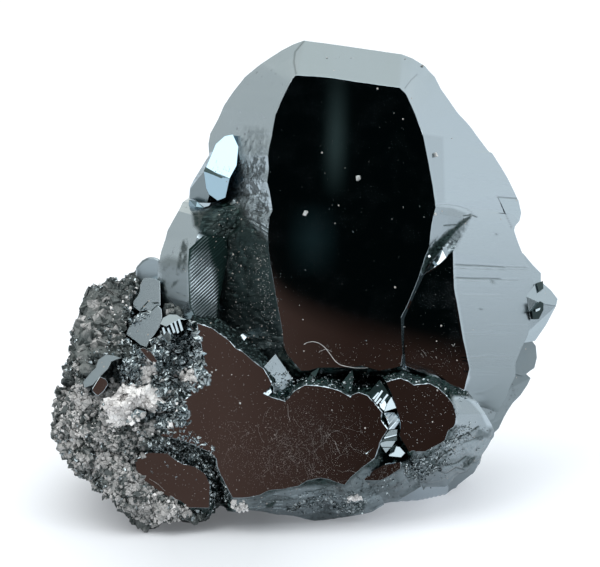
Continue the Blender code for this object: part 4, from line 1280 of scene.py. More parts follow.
FRONT_TOP = tuple(
    Rib(face, girdle, slope=STEEP_SLOPE)
    for face, girdle in (
        ((-9.2, 17.8), (-9.8, 18.6)), ((-7.9, 17.4), (-7.3, 18.2)), ((-6.3, 16.3), (-5.7, 17.1)),
        ((-3.8, 14.1), (-3.1, 14.8)), ((-2.5, 12.6), (-1.7, 13.0)), ((-3.0, 11.7), (-2.0, 12.0)),
        ((-1.3, 10.8), (-0.9, 11.9)), ((-0.5, 11.8), (-0.2, 12.7)), ((0.4, 12.3), (0.6, 13.2)),
        ((2.8, 12.0), (3.0, 12.9)), ((4.5, 11.2), (4.8, 12.3)), ((6.0, 11.4), (6.6, 12.2)),
        ((7.4, 9.8), (8.4, 10.4)), ((7.9, 8.3), (9.0, 8.4)), ((7.1, 7.1), (8.4, 6.6)),
    )
)
FRONT_LEFT = tuple(
    Rib(face, girdle, slope=STEEP_SLOPE)
    for face, girdle in (
        ((-7.0, 4.1), (-8.0, 3.3)), ((-7.5, 5.7), (-8.2, 4.9)), ((-8.9, 6.6), (-9.3, 5.6)),
        ((-10.9, 7.4), (-11.4, 6.5)), ((-12.5, 7.8), (-13.3, 7.6)), ((-11.3, 9.0), (-12.0, 9.7)),
        ((-10.3, 11.0), (-11.2, 11.4)), ((-8.8, 14.5), (-9.8, 14.8)),
    )
)
SIDE_TOP = tuple(
    Rib(face, girdle, slope=STEEP_SLOPE)
    for face, girdle in (
        ((7.7, 12.6), (7.3, 13.2)), ((9.0, 12.9), (9.0, 13.8)), ((10.2, 12.3), (10.5, 13.2)),
        ((11.7, 12.4), (12.2, 13.1)),
    )
)
SIDE_RIGHT = (
    Rib((13.1, 11.4), (15.1, 11.6)), Rib((14.0, 9.6), (16.8, 9.6)), Rib((13.8, 8.5), (17.4, 7.6)),
    Rib((13.0, 7.3), (16.6, 5.4)), Rib((11.3, 6.3), (14.2, 3.2)), Rib((9.8, 6.2), (11.2, 2.6)),
)
SIDE_LEFT = tuple(
    Rib(face, girdle, slope=STEEP_SLOPE)
    for face, girdle in (((8.9, 7.7), (8.3, 7.2)), ((9.0, 8.9), (8.3, 8.9)), ((8.6, 10.3), (8.0, 10.6)))
)
LOW_RIM = (
    Rib((-14.8, 5.5), (-15.4, 5.8)), Rib((-13.8, 6.2), (-14.0, 6.9)), Rib((-12.0, 6.2), (-11.9, 6.9)),
    Rib((-10.6, 5.2), (-10.2, 5.9)), Rib((-8.5, 4.3), (-7.8, 4.8)), Rib((-8.1, 3.3), (-7.4, 3.3)),
    Rib((-8.1, 1.2), (-7.6, 0.7)), Rib((-10.1, 1.2), (-10.2, 0.6)), Rib((-11.7, 2.1), (-12.1, 1.5)),
    Rib((-14.1, 3.8), (-14.7, 3.4)),
)
SMALL_RIM = (
    Rib((5.7, 3.8), (5.0, 3.4)), Rib((6.6, 4.6), (6.2, 5.2)), Rib((7.6, 5.1), (7.4, 5.8)),
    Rib((9.1, 5.3), (10.0, 5.6)), Rib((9.0, 4.7), (11.0, 3.0)), Rib((8.0, 4.0), (8.8, 1.7)),
    Rib((7.0, 3.7), (6.8, 1.3)),
)
PLATES = (
    Plate("front_plate", (Stretch(FRONT_TOP, 0.11), Stretch(FRONT_UNDER, 0.08), Stretch(FRONT_LEFT, 0.11)),
        FRONT_PLATE, -7.0, (16, 14, 16), FRONT_FACE_LINE, FRONT_SIDE_LINE, 0.05, 0.025, 13),
    Plate("side_plate", (Stretch(SIDE_TOP, 0.11), Stretch(SIDE_RIGHT, 0.08), Stretch(SIDE_LEFT, 0.11)),
        SIDE_PLATE, -9.0, (18, 16, 18), SIDE_FACE_LINE, SIDE_SIDE_LINE, 0.04, 0.025, 19),
    Plate("low_plate", (Stretch(LOW_RIM, 0.12),), LOW_PLATE, -5.0, (8, 6, 8), LOW_FACE_LINE, (), 0.05,
        0.025, 23),
    Plate("small_plate", (Stretch(SMALL_RIM, 0.1),), SMALL_PLATE, -6.0, (8, 6, 8), SMALL_FACE_LINE, (),
        0.04, 0.025, 29),
)


@dataclass(frozen=True)
class CrystalBack:
    """The hidden back of the big crystal, cut by slanting planes and stepped by growth terraces."""

    wall_rows: int = 26
    inward_rows: int = 60

    def build(self, shop: Workshop) -> Piece:
        """Build the piece.

        The girdle line goes straight back to the planes, then draws in to the middle on them.
        Each point is lowered by terraces: rounded noise, and grains on the broken lower parts.

        Args:
            shop: Where it is finished.

        Returns:
            The piece.
        """
        girdle = BIG_CRYSTAL.lines()[::2, 3]
        centre = np.array([3.0, 20.0])
        low = np.minimum(back_depth(girdle), girdle[:, 2] - 0.3)
        rows = []
        inner = girdle.copy()
        inner[:, :2] = centre + (girdle[:, :2] - centre) * 0.8
        inner[:, 2] = (girdle[:, 2] + low) / 2.0
        rows.append(inner)
        for share in np.linspace(0.0, 1.0, self.wall_rows):
            row = girdle.copy()
            row[:, :2] = centre + (girdle[:, :2] - centre) * 0.998
            row[:, 2] = girdle[:, 2] - 0.1 + (low + 0.1 - girdle[:, 2]) * share
            rows.append(row)
        for share in np.linspace(0.985, 0.02, self.inward_rows):
            row = girdle.copy()
            row[:, :2] = centre + (girdle[:, :2] - centre) * share
            row[:, 2] = np.minimum(back_depth(row), low - 0.01)
            rows.append(row)
        grid = np.array(rows)
        steps = np.round(noise(grid * (1.0, 1.0, 0.6), 6.0, 90, 3) * 5.0) / 5.0
        lower = np.clip((16.0 - grid[..., 1]) / 8.0, 0.0, 1.0)
        broken = 0.5 * facets(grid, 1.6, 93, 1.2) + 0.2 * facets(grid, 0.7, 97, 1.2)
        height = -0.3 - 0.5 * steps + lower * broken
        height += 0.03 * noise(grid, 0.8, 99, 3)
        height[:2] = 0.0
        grid = grid + normals_of(grid) * height[..., None]
        grime_and_painted_shade = 0.35 * lower + 0.3 * np.clip(noise(grid, 3.0, 101, 3) * 2.0, 0.0, 1.0)
        marks = {"satin": 1.0, "grime_and_painted_shade": grime_and_painted_shade, "pitted": 0.5, "dusty": 0.12 + 0.2 * lower}
        return shop.rings("crystal_back", grid, shop.crystal, "hematite", marks)


@dataclass(frozen=True)
class Shard:
    """A small crystal as seen: corners (x, y, w), its facets and where its root is."""

    name: str
    corners: tuple[Triple, ...]
    facets: tuple[tuple[int, ...], ...]
    root: float
    taper: float = 0.85
    edge: float = 0.05
    satin: float = 0.5
    grime_and_painted_shade: float = 0.0
    dusty: float = 0.1
    pitted: float = 0.2
    blue: bool = False

    def flattened(self) -> np.ndarray:
        """Return the corners as (u, v, w) with depths evened until each facet is nearly flat.

        Each facet's plane is fitted by least squares, and each corner moves to the mean of the
        planes it lies on, many times over.
        """
        points = seen(np.array(self.corners, float))
        for _ in range(8):
            total = np.zeros(len(points))
            count = np.zeros(len(points))
            for facet in self.facets:
                own = points[list(facet)]
                terms = np.column_stack([own[:, :2], np.ones(len(own))])
                fit = np.linalg.lstsq(terms, own[:, 2], rcond=None)[0]
                total[list(facet)] += terms @ fit
                count[list(facet)] += 1
            points[:, 2] = np.where(count, total / np.maximum(count, 1), points[:, 2])
        return points

    def build(self, shop: Workshop) -> Piece:
        """Build the crystal: its facets, walls from their outer sides to the root, and a root face.

        Args:
            shop: Where it is finished.

        Returns:
            The piece.
        """
        points = self.flattened()
        sides = [(a, b) for facet in self.facets for a, b in zip(facet, facet[1:] + facet[:1])]
        open_sides = dict((a, b) for a, b in sides if (b, a) not in sides)
        start = next(iter(open_sides))
        loop = [start]
        while open_sides[loop[-1]] != start:
            loop.append(open_sides[loop[-1]])
        centre = points[loop].mean(axis=0)
        root = centre + (points[loop] - centre) * self.taper
        root[:, 2] = self.root
        first = len(points)
        faces = [list(facet) for facet in self.facets]
        for i, corner in enumerate(loop):
            after = (i + 1) % len(loop)
            faces.append([loop[after], corner, first + i, first + after])
        faces.append([first + i for i in range(len(loop))])
        everything = np.concatenate([points, root])
        marks = {"satin": self.satin, "grime_and_painted_shade": self.grime_and_painted_shade, "dusty": self.dusty, "pitted": self.pitted}
        material = shop.blue if self.blue else shop.small
        return shop.piece(self.name, place(everything), faces, material, "hematite", marks, None, self.edge)


SHARDS = (
    Shard("perched_crystal", (
        (232.7, 134.3, -5.0), (224.6, 136, -5.2), (215.7, 144, -5.2), (205.9, 167.3, -4.7),
        (215.7, 172.7, -4.2), (222.9, 177, -3.8), (229.6, 178.5, -3.5), (236.7, 165.5, -3.8),
        (238.5, 146.8, -4.4), (203.9, 171.8, -4.7), (206, 188, -4.8), (209, 194.5, -4.9),
        (217.6, 200.8, -5.1), (225.4, 198, -4.9),
    ), ((0, 8, 7, 6, 5, 4, 3, 2, 1), (3, 4, 5, 6, 13, 12, 11, 10, 9)), -9.0, 0.85, 0.03, 0.35, 0.06, 0.05,
        0.12, True),
    Shard("perched_side", (
        (204, 171.5, -5.0), (199, 177.2, -5.7), (190.2, 188.7, -7.4), (189.6, 198.5, -7.7),
        (207, 203, -5.8), (209.5, 195.5, -5.4), (206, 188, -5.2),
    ), ((0, 1, 2, 3, 4, 5, 6),), -9.5, 0.85, 0.03, 0.6, 0.6),
    Shard("perched_foot", (
        (189, 199.5, -7.0), (197, 201.5, -6.2), (204, 208, -5.6), (199, 211, -6.2), (191.5, 211, -6.9),
        (188.5, 205, -7.2), (196, 207, -6.0),
    ), ((0, 1, 6), (1, 2, 6), (2, 3, 6), (3, 4, 6), (4, 5, 6), (5, 0, 6)), -9.5, 0.85, 0.03, 0.2, 0.5,
        blue=True),
    Shard("brown_square_crystal", (
        (92, 389, 2.5), (99.8, 376.4, 2.5), (105.9, 379, 2.5), (108.5, 384, 2.5), (103.9, 391.2, 2.5),
        (97.8, 396.3, 2.5), (92.7, 392, 2.5),
    ), ((0, 1, 2, 3, 4, 5, 6),), -1.0, 0.95, 0.04, 0.0),
    Shard("brown_sliver_crystal", (
        (139, 349, 0.9), (147, 353, 0.9), (153, 360, 0.9), (149, 362, 0.9), (138, 354, 0.9),
    ), ((0, 1, 2, 3, 4),), -2.0, 0.95, 0.03, 0.0),
    Shard("leaning_slab", (
        (263.5, 367.3, 1.7), (275.6, 353.8, -0.3), (293.6, 379.5, 0.0), (283, 391.5, 1.9),
        (272.5, 382.5, 1.8), (294, 386, -0.3), (288, 399, 0.4), (280, 400, 0.9), (274, 393, 1.2),
    ), ((0, 1, 2, 3, 4), (4, 3, 2, 5, 6, 7, 8)), -4.0, 0.9, 0.03, 0.2, 0.0, 0.1, 0.3),
    Shard("leaning_chip", (
        (230.5, 343.5, -0.6), (242.5, 333.5, -1.0), (247, 337, -0.8), (237.5, 349, 0.0),
    ), ((0, 1, 2, 3),), -4.5, 0.9, 0.03, 0.1),
    Shard("outer_top_crystal", (
        (512, 262, -11.2), (523, 253, -12.6), (533, 265, -13.4), (541, 273, -14.1), (541, 281.5, -13.9),
        (534, 284, -13.2), (518, 292, -11.4), (551, 290, -13.9), (558, 299, -13.6), (556, 306, -13.6),
        (541, 303, -12.0), (546, 325, -13.1), (535, 341, -12.45), (514, 345, -10.4),
    ), ((0, 1, 2, 3, 4, 5, 6), (6, 5, 4, 7, 8, 9, 10), (10, 9, 11, 12, 13), (6, 10, 13)), -15.5, 0.85,
        0.05, 0.9, 0.12),
    Shard("outer_middle_crystal", (
        (524, 330, -11.9), (536, 346, -13.0), (537, 357.5, -13.1), (534.5, 368, -12.8), (530, 371, -12.3),
        (524, 376, -11.6), (505, 372, -9.6), (506, 350, -9.8), (527, 352, -12.0),
    ), ((0, 1, 8, 7), (1, 2, 3, 4, 8), (8, 4, 5, 6, 7)), -15.5, 0.85, 0.05, 1.0, 0.55, 0.2, 0.4),
    Shard("outer_low_crystal", (
        (508, 366, -10.4), (520, 368, -11.4), (531, 378, -12.2), (527.6, 385, -12.0), (520.7, 395, -11.6),
        (512.7, 403, -11.0), (508, 410, -10.4), (504, 417, -9.8), (498.7, 428.5, -8.6), (491, 436, -7.2),
        (482, 430, -6.2), (490, 402, -8.2), (511, 388, -10.4), (500, 406, -9.2), (494, 421, -8.0),
    ), (
        (0, 1, 2, 12, 11), (2, 3, 4, 5, 13, 12), (11, 12, 13, 14, 10), (13, 5, 6, 7, 14), (14, 7, 8, 9, 10),
    ), -14.0, 0.85, 0.06, 1.0, 0.55, 0.2, 0.4),
    Shard("shoulder_crystal", (
        (498.5, 197.8, -9.85), (518.5, 199.5, -12.3), (521.3, 213, -12.8), (519.5, 221, -12.5),
        (512.5, 228.5, -11.1),
    ), ((0, 1, 2, 3, 4),), -14.0, 0.9, 0.04, 1.0, 0.05, 0.1, 0.1),
)


@dataclass(frozen=True)
class Chip:
    """A flat chip as seen: its outline, and its depth at a corner with its rises to the right and up.

    The rises are in mm a mm. A chip that faces the sky straight above is bright.
    """

    name: str
    outline: Outline
    depth: float
    right: float = -0.24
    up: float = -0.6
    root: float = 2.0
    grime_and_painted_shade: float = 0.0
    satin: float = 0.1
    edge: float = 0.015
    pitted: float = 0.1

    def build(self, shop: Workshop) -> Piece:
        """Build the chip as a crystal with one facet, whose depth is worked out from its rises."""
        (x, y), rows = self.outline[0], []
        for a, b in self.outline:
            rows.append((a, b, self.depth + STEP_MM * (self.right * (a - x) + self.up * (y - b))))
        low = min(row[2] for row in rows) - self.root
        facet = tuple(range(len(rows)))
        marks = (self.satin, self.grime_and_painted_shade, 0.05, self.pitted)
        return Shard(self.name, tuple(rows), (facet,), low, 0.92, self.edge, *marks).build(shop)


BLADE_LINE = ((139.5, 349), (143, 347.5), (151, 352), (157.5, 361), (154, 364.5), (147, 358))
CHIPS = tuple(Chip(*row) for row in (
    ("left_top_crystal", (
        (140.7, 283), (136, 277), (135.4, 267.8), (142, 260.4), (148.1, 257), (154.8, 257), (160, 259.4),
        (161, 268), (159, 283),
    ), -9.0, 0.6, 0.2, 3.0, 0.35, 1.0, 0.2),
    ("left_middle_crystal", (
        (143.4, 278.5), (148.8, 277.6), (154.8, 278.5), (160, 281.1), (160.5, 305.5), (151.5, 311.2),
        (146.8, 309.8), (139.4, 311.5), (133.4, 307.2), (132.7, 301.9), (137.4, 296.5), (139.7, 291.2),
        (140.1, 285.2),
    ), -6.2, 0.7, -0.34, 4.0, 0.2, 0.9, 0.04, 0.3),
    ("left_line_1", ((139.6, 309.8), (147.6, 301), (148.4, 301.6), (140.6, 310.4)), -5.45, 0.7, -0.34, 0.4,
        0.95),
    ("left_line_2", ((151.4, 310), (157.6, 304.4), (158.4, 305.4), (152.2, 311)), -4.6, 0.7, -0.34, 0.4,
        0.95),
    ("left_line_3", ((152, 302.4), (158, 302), (158, 302.9), (153, 303.4)), -4.8, 0.7, -0.34, 0.4, 0.95),
    ("left_low_crystal", (
        (152.1, 310.8), (157.8, 305.2), (161.5, 309.3), (162.2, 318), (159.5, 327.3), (154.8, 334.7),
        (149.5, 340.7), (146.4, 347.4), (140.7, 345.4), (134.1, 340), (126, 334.7), (128, 328.7),
        (134, 318), (139.5, 313), (147.5, 311.8),
    ), -3.2, 0.69, -0.33, 4.0, 0.2, 0.9, 0.04, 0.3),
    ("left_edge_crystal", (
        (98.3, 359.6), (105.9, 354.5), (114.1, 355.5), (121.2, 358), (111, 362), (108, 369), (100.8, 376),
        (92.7, 385.1), (84.5, 388.2), (83, 382), (89.6, 374), (95.7, 367.8),
    ), 1.0, 0.69, -0.48, 3.0, 0.4, 0.9, 0.05),
    ("brown_blade", BLADE_LINE, 2.0, 0.0, 0.0, 2.6),
    ("dark_spot", ((536.5, 283), (543, 281), (543.5, 288.6), (539, 291.5)), -13.2, -0.75, -0.9, 0.6, 0.92),
    ("dark_eye", ((540, 301), (543.5, 303), (543.5, 310), (539, 319), (533, 319.5), (532, 311)), -11.75,
        -0.655, 0.1, 0.6, 0.92),
    ("eye_glint", ((535.5, 309.5), (540.5, 307.5), (540, 310), (536, 312)), -11.4, -0.24, -0.6, 0.3, 0.2),
    ("corner_chip", ((263, 393.5), (270, 387.5), (272, 392), (268, 396)), 2.7, -0.24, -0.6, 2.0),
    ("notch_sliver", (
        (423.3, 274.8), (428.4, 268.4), (436, 257.6), (440.5, 251.9), (442.4, 249.3), (446.3, 257.6),
        (440.5, 263.3), (430.9, 269.7),
    ), -0.95, 0.355, -0.4, 1.5),
    ("notch_flat", ((442.4, 246.8), (446.9, 247.4), (448.8, 253.8), (446.3, 257.6), (443, 250)), -1.0,
        -0.5, 0.2, 1.5, 0.3),
    ("notch_glint", ((427.5, 256), (429.5, 254.5), (431, 256.5), (429, 258)), -0.1, 0.355, -0.4, 1.0),
    ("perched_joint", (
        (205.5, 166.8), (215, 172.6), (223, 177), (221.5, 178.4), (213, 174.8), (203.6, 171.3),
    ), -4.15, 0.355, -0.3, 0.5, 0.95),
    ("perched_strip", ((198, 202.6), (211, 203), (209, 206), (204, 207.4)), -5.4, 0.2, 0.2, 2.0, 0.1),
    ("wall_dark", (
        (366.5, 395.2), (379.8, 379.7), (384, 386), (391.4, 396.7), (386, 405), (384.1, 411.8),
        (379.2, 406.4), (373.2, 401.5),
    ), 2.4, -0.5, -0.1, 2.0, 0.97),
    ("wall_bar_1", ((378, 392.1), (379.3, 393), (374, 399.6), (372.2, 398.6)), 2.15, -0.24, -0.6, 0.8),
    ("wall_bar_2", ((381.6, 390), (383.2, 391.2), (375.6, 402.4), (374, 401)), 2.05, -0.24, -0.6, 0.8),
    ("wall_bar_3", ((380.4, 397.6), (382, 399), (377.2, 404.6), (375.6, 403.2)), 2.2, -0.24, -0.6, 0.8),
    ("wall_bar_4", ((387, 393.8), (388.6, 395), (382, 403.4), (380.6, 402.2)), 1.9, -0.24, -0.6, 0.8),
    ("wall_flat", ((379.4, 403.4), (384.8, 400.2), (386.6, 404), (384.2, 411), (380.4, 407.6)), 2.5, -0.4,
        -0.3, 1.5, 0.25),
    ("wall_bright", ((391.4, 396.9), (396.3, 408), (384.3, 411.7), (387, 404)), 1.7, -0.24, -0.6, 1.5,
        0.12),
    ("wall_grey", ((388.9, 430), (397.4, 429.4), (396.8, 434.2), (384.1, 437.3)), 1.8, -0.5, -0.2, 1.5,
        0.6),
    ("wall_line", ((384, 437.3), (396.7, 434.2), (396.9, 435.4), (384.2, 438.9)), 2.4, -0.24, -0.6, 1.0),
    ("wall_green", ((383.4, 439.2), (396.8, 436), (397, 440.6), (385.5, 440.8), (379.6, 442.2)), 2.3, -0.5,
        -0.2, 1.5, 0.85),
    ("wall_lavender", ((379.2, 442.4), (385.3, 440.9), (395.6, 440.9), (392, 447), (381.7, 447)), 2.4,
        -0.3, -0.55, 1.5, 0.08),
    ("wall_pale", ((382.3, 447.6), (391, 447.6), (385.9, 453)), 2.55, -0.3, -0.5, 1.5, 0.1),
    ("wall_end", (
        (388.9, 456.1), (390.2, 451.2), (396.2, 446.4), (399.8, 447), (405, 453), (401.1, 457.3),
    ), 2.5, -0.24, -0.6, 1.5, 0.2),
    ("wall_end_bar", ((389, 449), (396, 444.6), (397, 446), (390, 451)), 2.7, -0.3, -0.1, 1.0, 0.95),
    ("plate_sliver", ((365, 454), (372.6, 448.6), (368.5, 451.8), (367, 454)), 2.7, 0.355, -0.4, 0.4),
    ("groove_blade", ((305.5, 384.5), (311, 373), (320, 367), (316, 376), (308.5, 385)), 1.2, -0.4, -0.5,
        2.5, 0.97),
    ("groove_wedge", ((341, 384), (352.5, 369), (353.5, 377), (351, 397)), 1.0, -0.5, -0.6, 2.5, 0.98),
    ("grey_facet", ((136, 409), (146, 412), (140, 421), (127, 425), (126, 421)), 3.4, 0.3, -0.2, 3.0, 0.55,
        0.8),
))


@dataclass(frozen=True)
class StripedFace:
    """A face with fine diagonal growth steps.

    Its sides are places as seen (x, y, w): left from top to bottom, and right. The steps rise
    along a direction (u, v).
    """

    name: str = "striped_face"
    left: tuple[Triple, ...] = (
        (203, 236, -2.6), (189, 249, -1.9), (188, 266, -1.5), (188.7, 285, -1.1), (189.6, 306, -0.7),
        (197, 321, -0.5),
    )
    right: tuple[Triple, ...] = (
        (226, 237, -3.2), (228, 252, -3.3), (226, 268, -3.3), (222, 285, -3.0), (219, 303, -2.6),
        (216, 328, -1.7),
    )
    rows: int = 330
    columns: int = 110
    step_height: float = 0.025
    step_size: float = 0.235
    uphill: Pair = (-0.95, 1.0)
    shaded: bool = True
    thickness: float = 1.2

    def build(self, shop: Workshop) -> Piece:
        """Build the face as a closed slab.

        Rows run between the two sides, evenly by share. The height is a sawtooth of the
        distance across the steps, which drifts a little, and fades at the slab's edges.

        Args:
            shop: Where it is finished.

        Returns:
            The piece.
        """
        down = np.linspace(0.0, 1.0, self.rows)
        knots = np.linspace(0.0, 1.0, len(self.left))
        sides = []
        for line in (self.left, self.right):
            points = seen(np.array(line, float))
            sides.append(np.stack([np.interp(down, knots, points[:, i]) for i in range(3)], axis=1))
        across = np.linspace(0.0, 1.0, self.columns)[None, :, None]
        grid = sides[0][:, None] * (1.0 - across) + sides[1][:, None] * across
        distance = grid[..., :2] @ np.array(self.uphill) / math.hypot(*self.uphill)
        drift = 0.05 * noise(grid * (0.4, 0.4, 1.0), 1.6, 51, 2) + 0.015 * noise(grid, 0.5, 53, 1)
        phase = distance / self.step_size + drift / self.step_size
        tooth = phase - np.floor(phase)
        saw = np.where(tooth < 0.75, tooth / 0.75, (1.0 - tooth) / 0.25)
        level = np.zeros((*phase.shape, 3))
        level[..., 0] = np.floor(phase)
        size = 0.6 + 0.8 * lattice(level, 5)
        fade = np.clip(np.minimum(across[..., 0], 1.0 - across[..., 0]) * 12.0, 0.0, 1.0)
        grid[..., 2] += 0.06 + saw * size * self.step_height * fade
        back = grid.copy()
        back[..., 2] -= self.thickness
        count = self.rows * self.columns
        index = np.arange(count).reshape(self.rows, self.columns)
        quads = np.stack([index[:-1, :-1], index[:-1, 1:], index[1:, 1:], index[1:, :-1]], -1)
        quads = quads.reshape(-1, 4)
        loop = np.concatenate([index[0, :-1], index[:-1, -1], index[-1, :0:-1], index[:0:-1, 0]])
        after = np.roll(loop, -1)
        wall = np.stack([loop, after, after + count, loop + count], axis=1)
        faces = np.concatenate([quads, quads[:, ::-1] + count, wall[:, ::-1]])
        x, y = np.moveaxis(in_view(grid), -1, 0)
        # Painted shade: grime rises towards the right and the top, where the face lies in shade, and at the
        # slab's edges; along the steps it alternates as painted highlight and shade.
        shade = np.clip((x - 211.0 - 0.12 * (y - 270.0)) / 9.0, 0.0, 1.0)
        top = np.clip((264.0 - y) / 20.0, 0.0, 1.0)
        grime_and_painted_shade = 0.9 * shade + 0.4 * top + 0.6 + 0.3 * noise(grid, 1.5, 57, 2)
        grime_and_painted_shade += 0.6 * (saw - 0.5) * fade + 0.5 * (1.0 - fade)
        grime_and_painted_shade = np.clip(grime_and_painted_shade * self.shaded, 0.0, 1.0).reshape(-1)
        marks = {"satin": 0.5, "grime_and_painted_shade": np.concatenate([grime_and_painted_shade, grime_and_painted_shade]), "dusty": 0.15, "pitted": 0.1}
        points = np.concatenate([grid.reshape(-1, 3), back.reshape(-1, 3)])
        return shop.piece(self.name, place(points), faces, shop.crystal, "hematite", marks, 40.0)


WALL_FACE = StripedFace("wall_face", (
    (379.5, 416.8, 2.3), (384, 412.4, 2.2), (388.5, 424, 2.5), (388.9, 429.4, 2.6),
), ((384.3, 412.4, 2.1), (395, 412.4, 1.4), (400.2, 420.9, 1.7), (394.4, 428.8, 2.2)), 70, 60, 0.07, 0.36,
    (-1.0, 0.9), False, 2.0)


@dataclass(frozen=True)
class CombCrystal:
    """The small rounded crystal whose front is a comb of bright upright bars."""

    middle: Pair = (174.0, 331.0)
    bars: int = 5
    spacing: float = 3.9

    def build(self, shop: Workshop) -> list[Piece]:
        """Build the cap and the bars below it.

        Args:
            shop: Where they are finished.

        Returns:
            The pieces.
        """
        x, y = self.middle
        cap = Shard(
            "comb_cap",
            (
                (x - 13.8, y - 7, 0.2), (x - 11.2, y - 13, -0.3), (x - 4.5, y - 16.7, -0.7),
                (x + 2.9, y - 16.4, -0.7),
                (x + 7, y - 13.7, -0.3), (x + 13, y - 11.4, 0.2), (x + 5.5, y - 11.5, 0.5),
                (x - 8, y - 4.6, 0.9),
            ),
            ((0, 1, 2, 3, 4, 6, 7), (6, 4, 5)), -4.0, 0.9, 0.03, 0.1,
        )
        made = [cap.build(shop)]
        for i in range(self.bars):
            left = x - 12 + i * self.spacing
            top = y - 4.4 - 0.55 * (left + 10 - x)
            foot = top + 8 + 5 * lattice(np.array([[i, 2, 0]]), 3)[0]
            outline = ((left, top), (left + 2.2, top - 0.6), (left + 5.8, foot), (left + 3.6, foot + 1.5))
            bar = Chip(f"comb_bar_{i + 1}", outline, 0.7 - 0.2 * (i % 2), root=3.0, grime_and_painted_shade=0.35)
            made.append(bar.build(shop))
        return made


@dataclass(frozen=True)
class Tablet:
    """A six-sided tabular crystal of the hidden back, in the plane's frame."""

    name: str
    middle: Triple
    girdle_radius: float
    face_radius: float
    half_thickness: float
    pitch_deg: float
    yaw_deg: float
    spin_deg: float
    columns: int = 240
    half_rows: int = 26

    def build(self, shop: Workshop) -> Piece:
        """Build the tablet.

        Points run round it on rings from one flat face over the girdle to the other. A ring's
        radius follows a hexagon, its sides carry rounded level steps, and the whole is turned.

        Args:
            shop: Where it is finished.

        Returns:
            The piece.
        """
        around = np.linspace(0.0, 2.0 * math.pi, self.columns, endpoint=False)
        sector = (around + math.pi / 6.0) % (math.pi / 3.0) - math.pi / 6.0
        uneven = 1.0 + 0.035 * np.cos(2.0 * around + self.spin_deg)
        hexagon = math.cos(math.pi / 6.0) / np.cos(sector) * uneven
        rows = []
        share = np.linspace(0.0, 1.0, self.half_rows)
        level = np.concatenate([share, 2.0 - share[-2::-1]])
        for value in level:
            part = value if value <= 1.0 else 2.0 - value
            radius = self.face_radius + (self.girdle_radius - self.face_radius) * part
            height = self.half_thickness * (1.0 - value)
            ring = radius * hexagon
            flat = np.full(self.columns, height)
            rows.append(np.stack([ring * np.cos(-around), ring * np.sin(-around), flat], 1))
        grid = np.array(rows)
        step = np.round(noise(grid * (0.25, 0.25, 2.5), 1.2, len(self.name), 2) * 3.0) / 3.0
        lift = 1.0 + 0.03 * step + 0.012 * noise(grid, 0.5, 7, 2)
        lift[0] = lift[-1] = 0.985
        grid[..., :2] *= lift[..., None]
        turn = Matrix.Rotation(math.radians(self.yaw_deg), 3, "Y")
        turn = turn @ Matrix.Rotation(math.radians(self.pitch_deg), 3, "X")
        turn = turn @ Matrix.Rotation(math.radians(self.spin_deg), 3, "Z")
        points = grid.reshape(-1, 3) @ np.array(turn).T + np.array(self.middle)
        grime_and_painted_shade = np.clip(noise(points, 2.5, 63, 3) * 1.2, 0.0, 0.6)
        marks = {"satin": 0.6, "grime_and_painted_shade": grime_and_painted_shade, "dusty": 0.14, "pitted": 0.3}
        return shop.rings(self.name, points.reshape(grid.shape), shop.crystal, "hematite", marks, 22.0)


TABLETS = (
    Tablet("back_tablet_right", (6.5, 13.0, -17.5), 8.6, 6.0, 3.6, 172.0, 14.0, 12.0),
    Tablet("back_tablet_left", (-4.2, 17.5, -16.0), 7.2, 4.8, 3.8, 186.0, -20.0, 40.0),
    Tablet("back_tablet_low", (0.5, 5.6, -17.0), 6.8, 4.4, 3.4, 160.0, -6.0, 24.0),
    Tablet("back_tablet_top", (7.4, 27.0, -13.0), 5.6, 3.8, 2.6, 152.0, 10.0, 4.0),
    Tablet("back_tablet_edge", (13.2, 19.5, -15.6), 4.2, 2.9, 1.6, 140.0, 34.0, 10.0),
    Tablet("back_tablet_small", (0.2, 23.4, -17.2), 3.6, 2.5, 1.5, 158.0, -14.0, 50.0),
    Tablet("back_tablet_left_low", (-8.0, 12.0, -12.6), 4.6, 3.2, 2.0, 186.0, -44.0, 18.0),
    Tablet("back_tablet_right_low", (13.0, 9.0, -13.4), 4.6, 3.1, 1.8, 150.0, 40.0, 30.0),
)


def sphere_points(count: int) -> tuple[np.ndarray, np.ndarray]:
    """Return unit directions and quads of a cube's six gridded sides pushed on to a sphere.

    Args:
        count: How many quads a side has each way.

    Returns:
        The directions and the quads. Sides share no points yet.
    """
    line = np.tan(np.linspace(-math.pi / 4.0, math.pi / 4.0, count + 1))
    a, b = np.meshgrid(line, line, indexing="ij")
    one = np.ones_like(a)
    sides = ((one, a, b), (-one, b, a), (b, one, a), (a, -one, b), (a, b, one), (b, a, -one))
    points = np.concatenate([np.stack(side, -1).reshape(-1, 3) for side in sides])
    points /= np.linalg.norm(points, axis=1, keepdims=True)
    index = np.arange((count + 1) ** 2).reshape(count + 1, count + 1)
    quad = np.stack([index[:-1, :-1], index[1:, :-1], index[1:, 1:], index[:-1, 1:]], -1).reshape(-1, 4)
    quads = np.concatenate([quad + side * (count + 1) ** 2 for side in range(6)])
    _, first, same = np.unique(np.round(points, 7), axis=0, return_index=True, return_inverse=True)
    return points[first], same.reshape(-1)[quads]


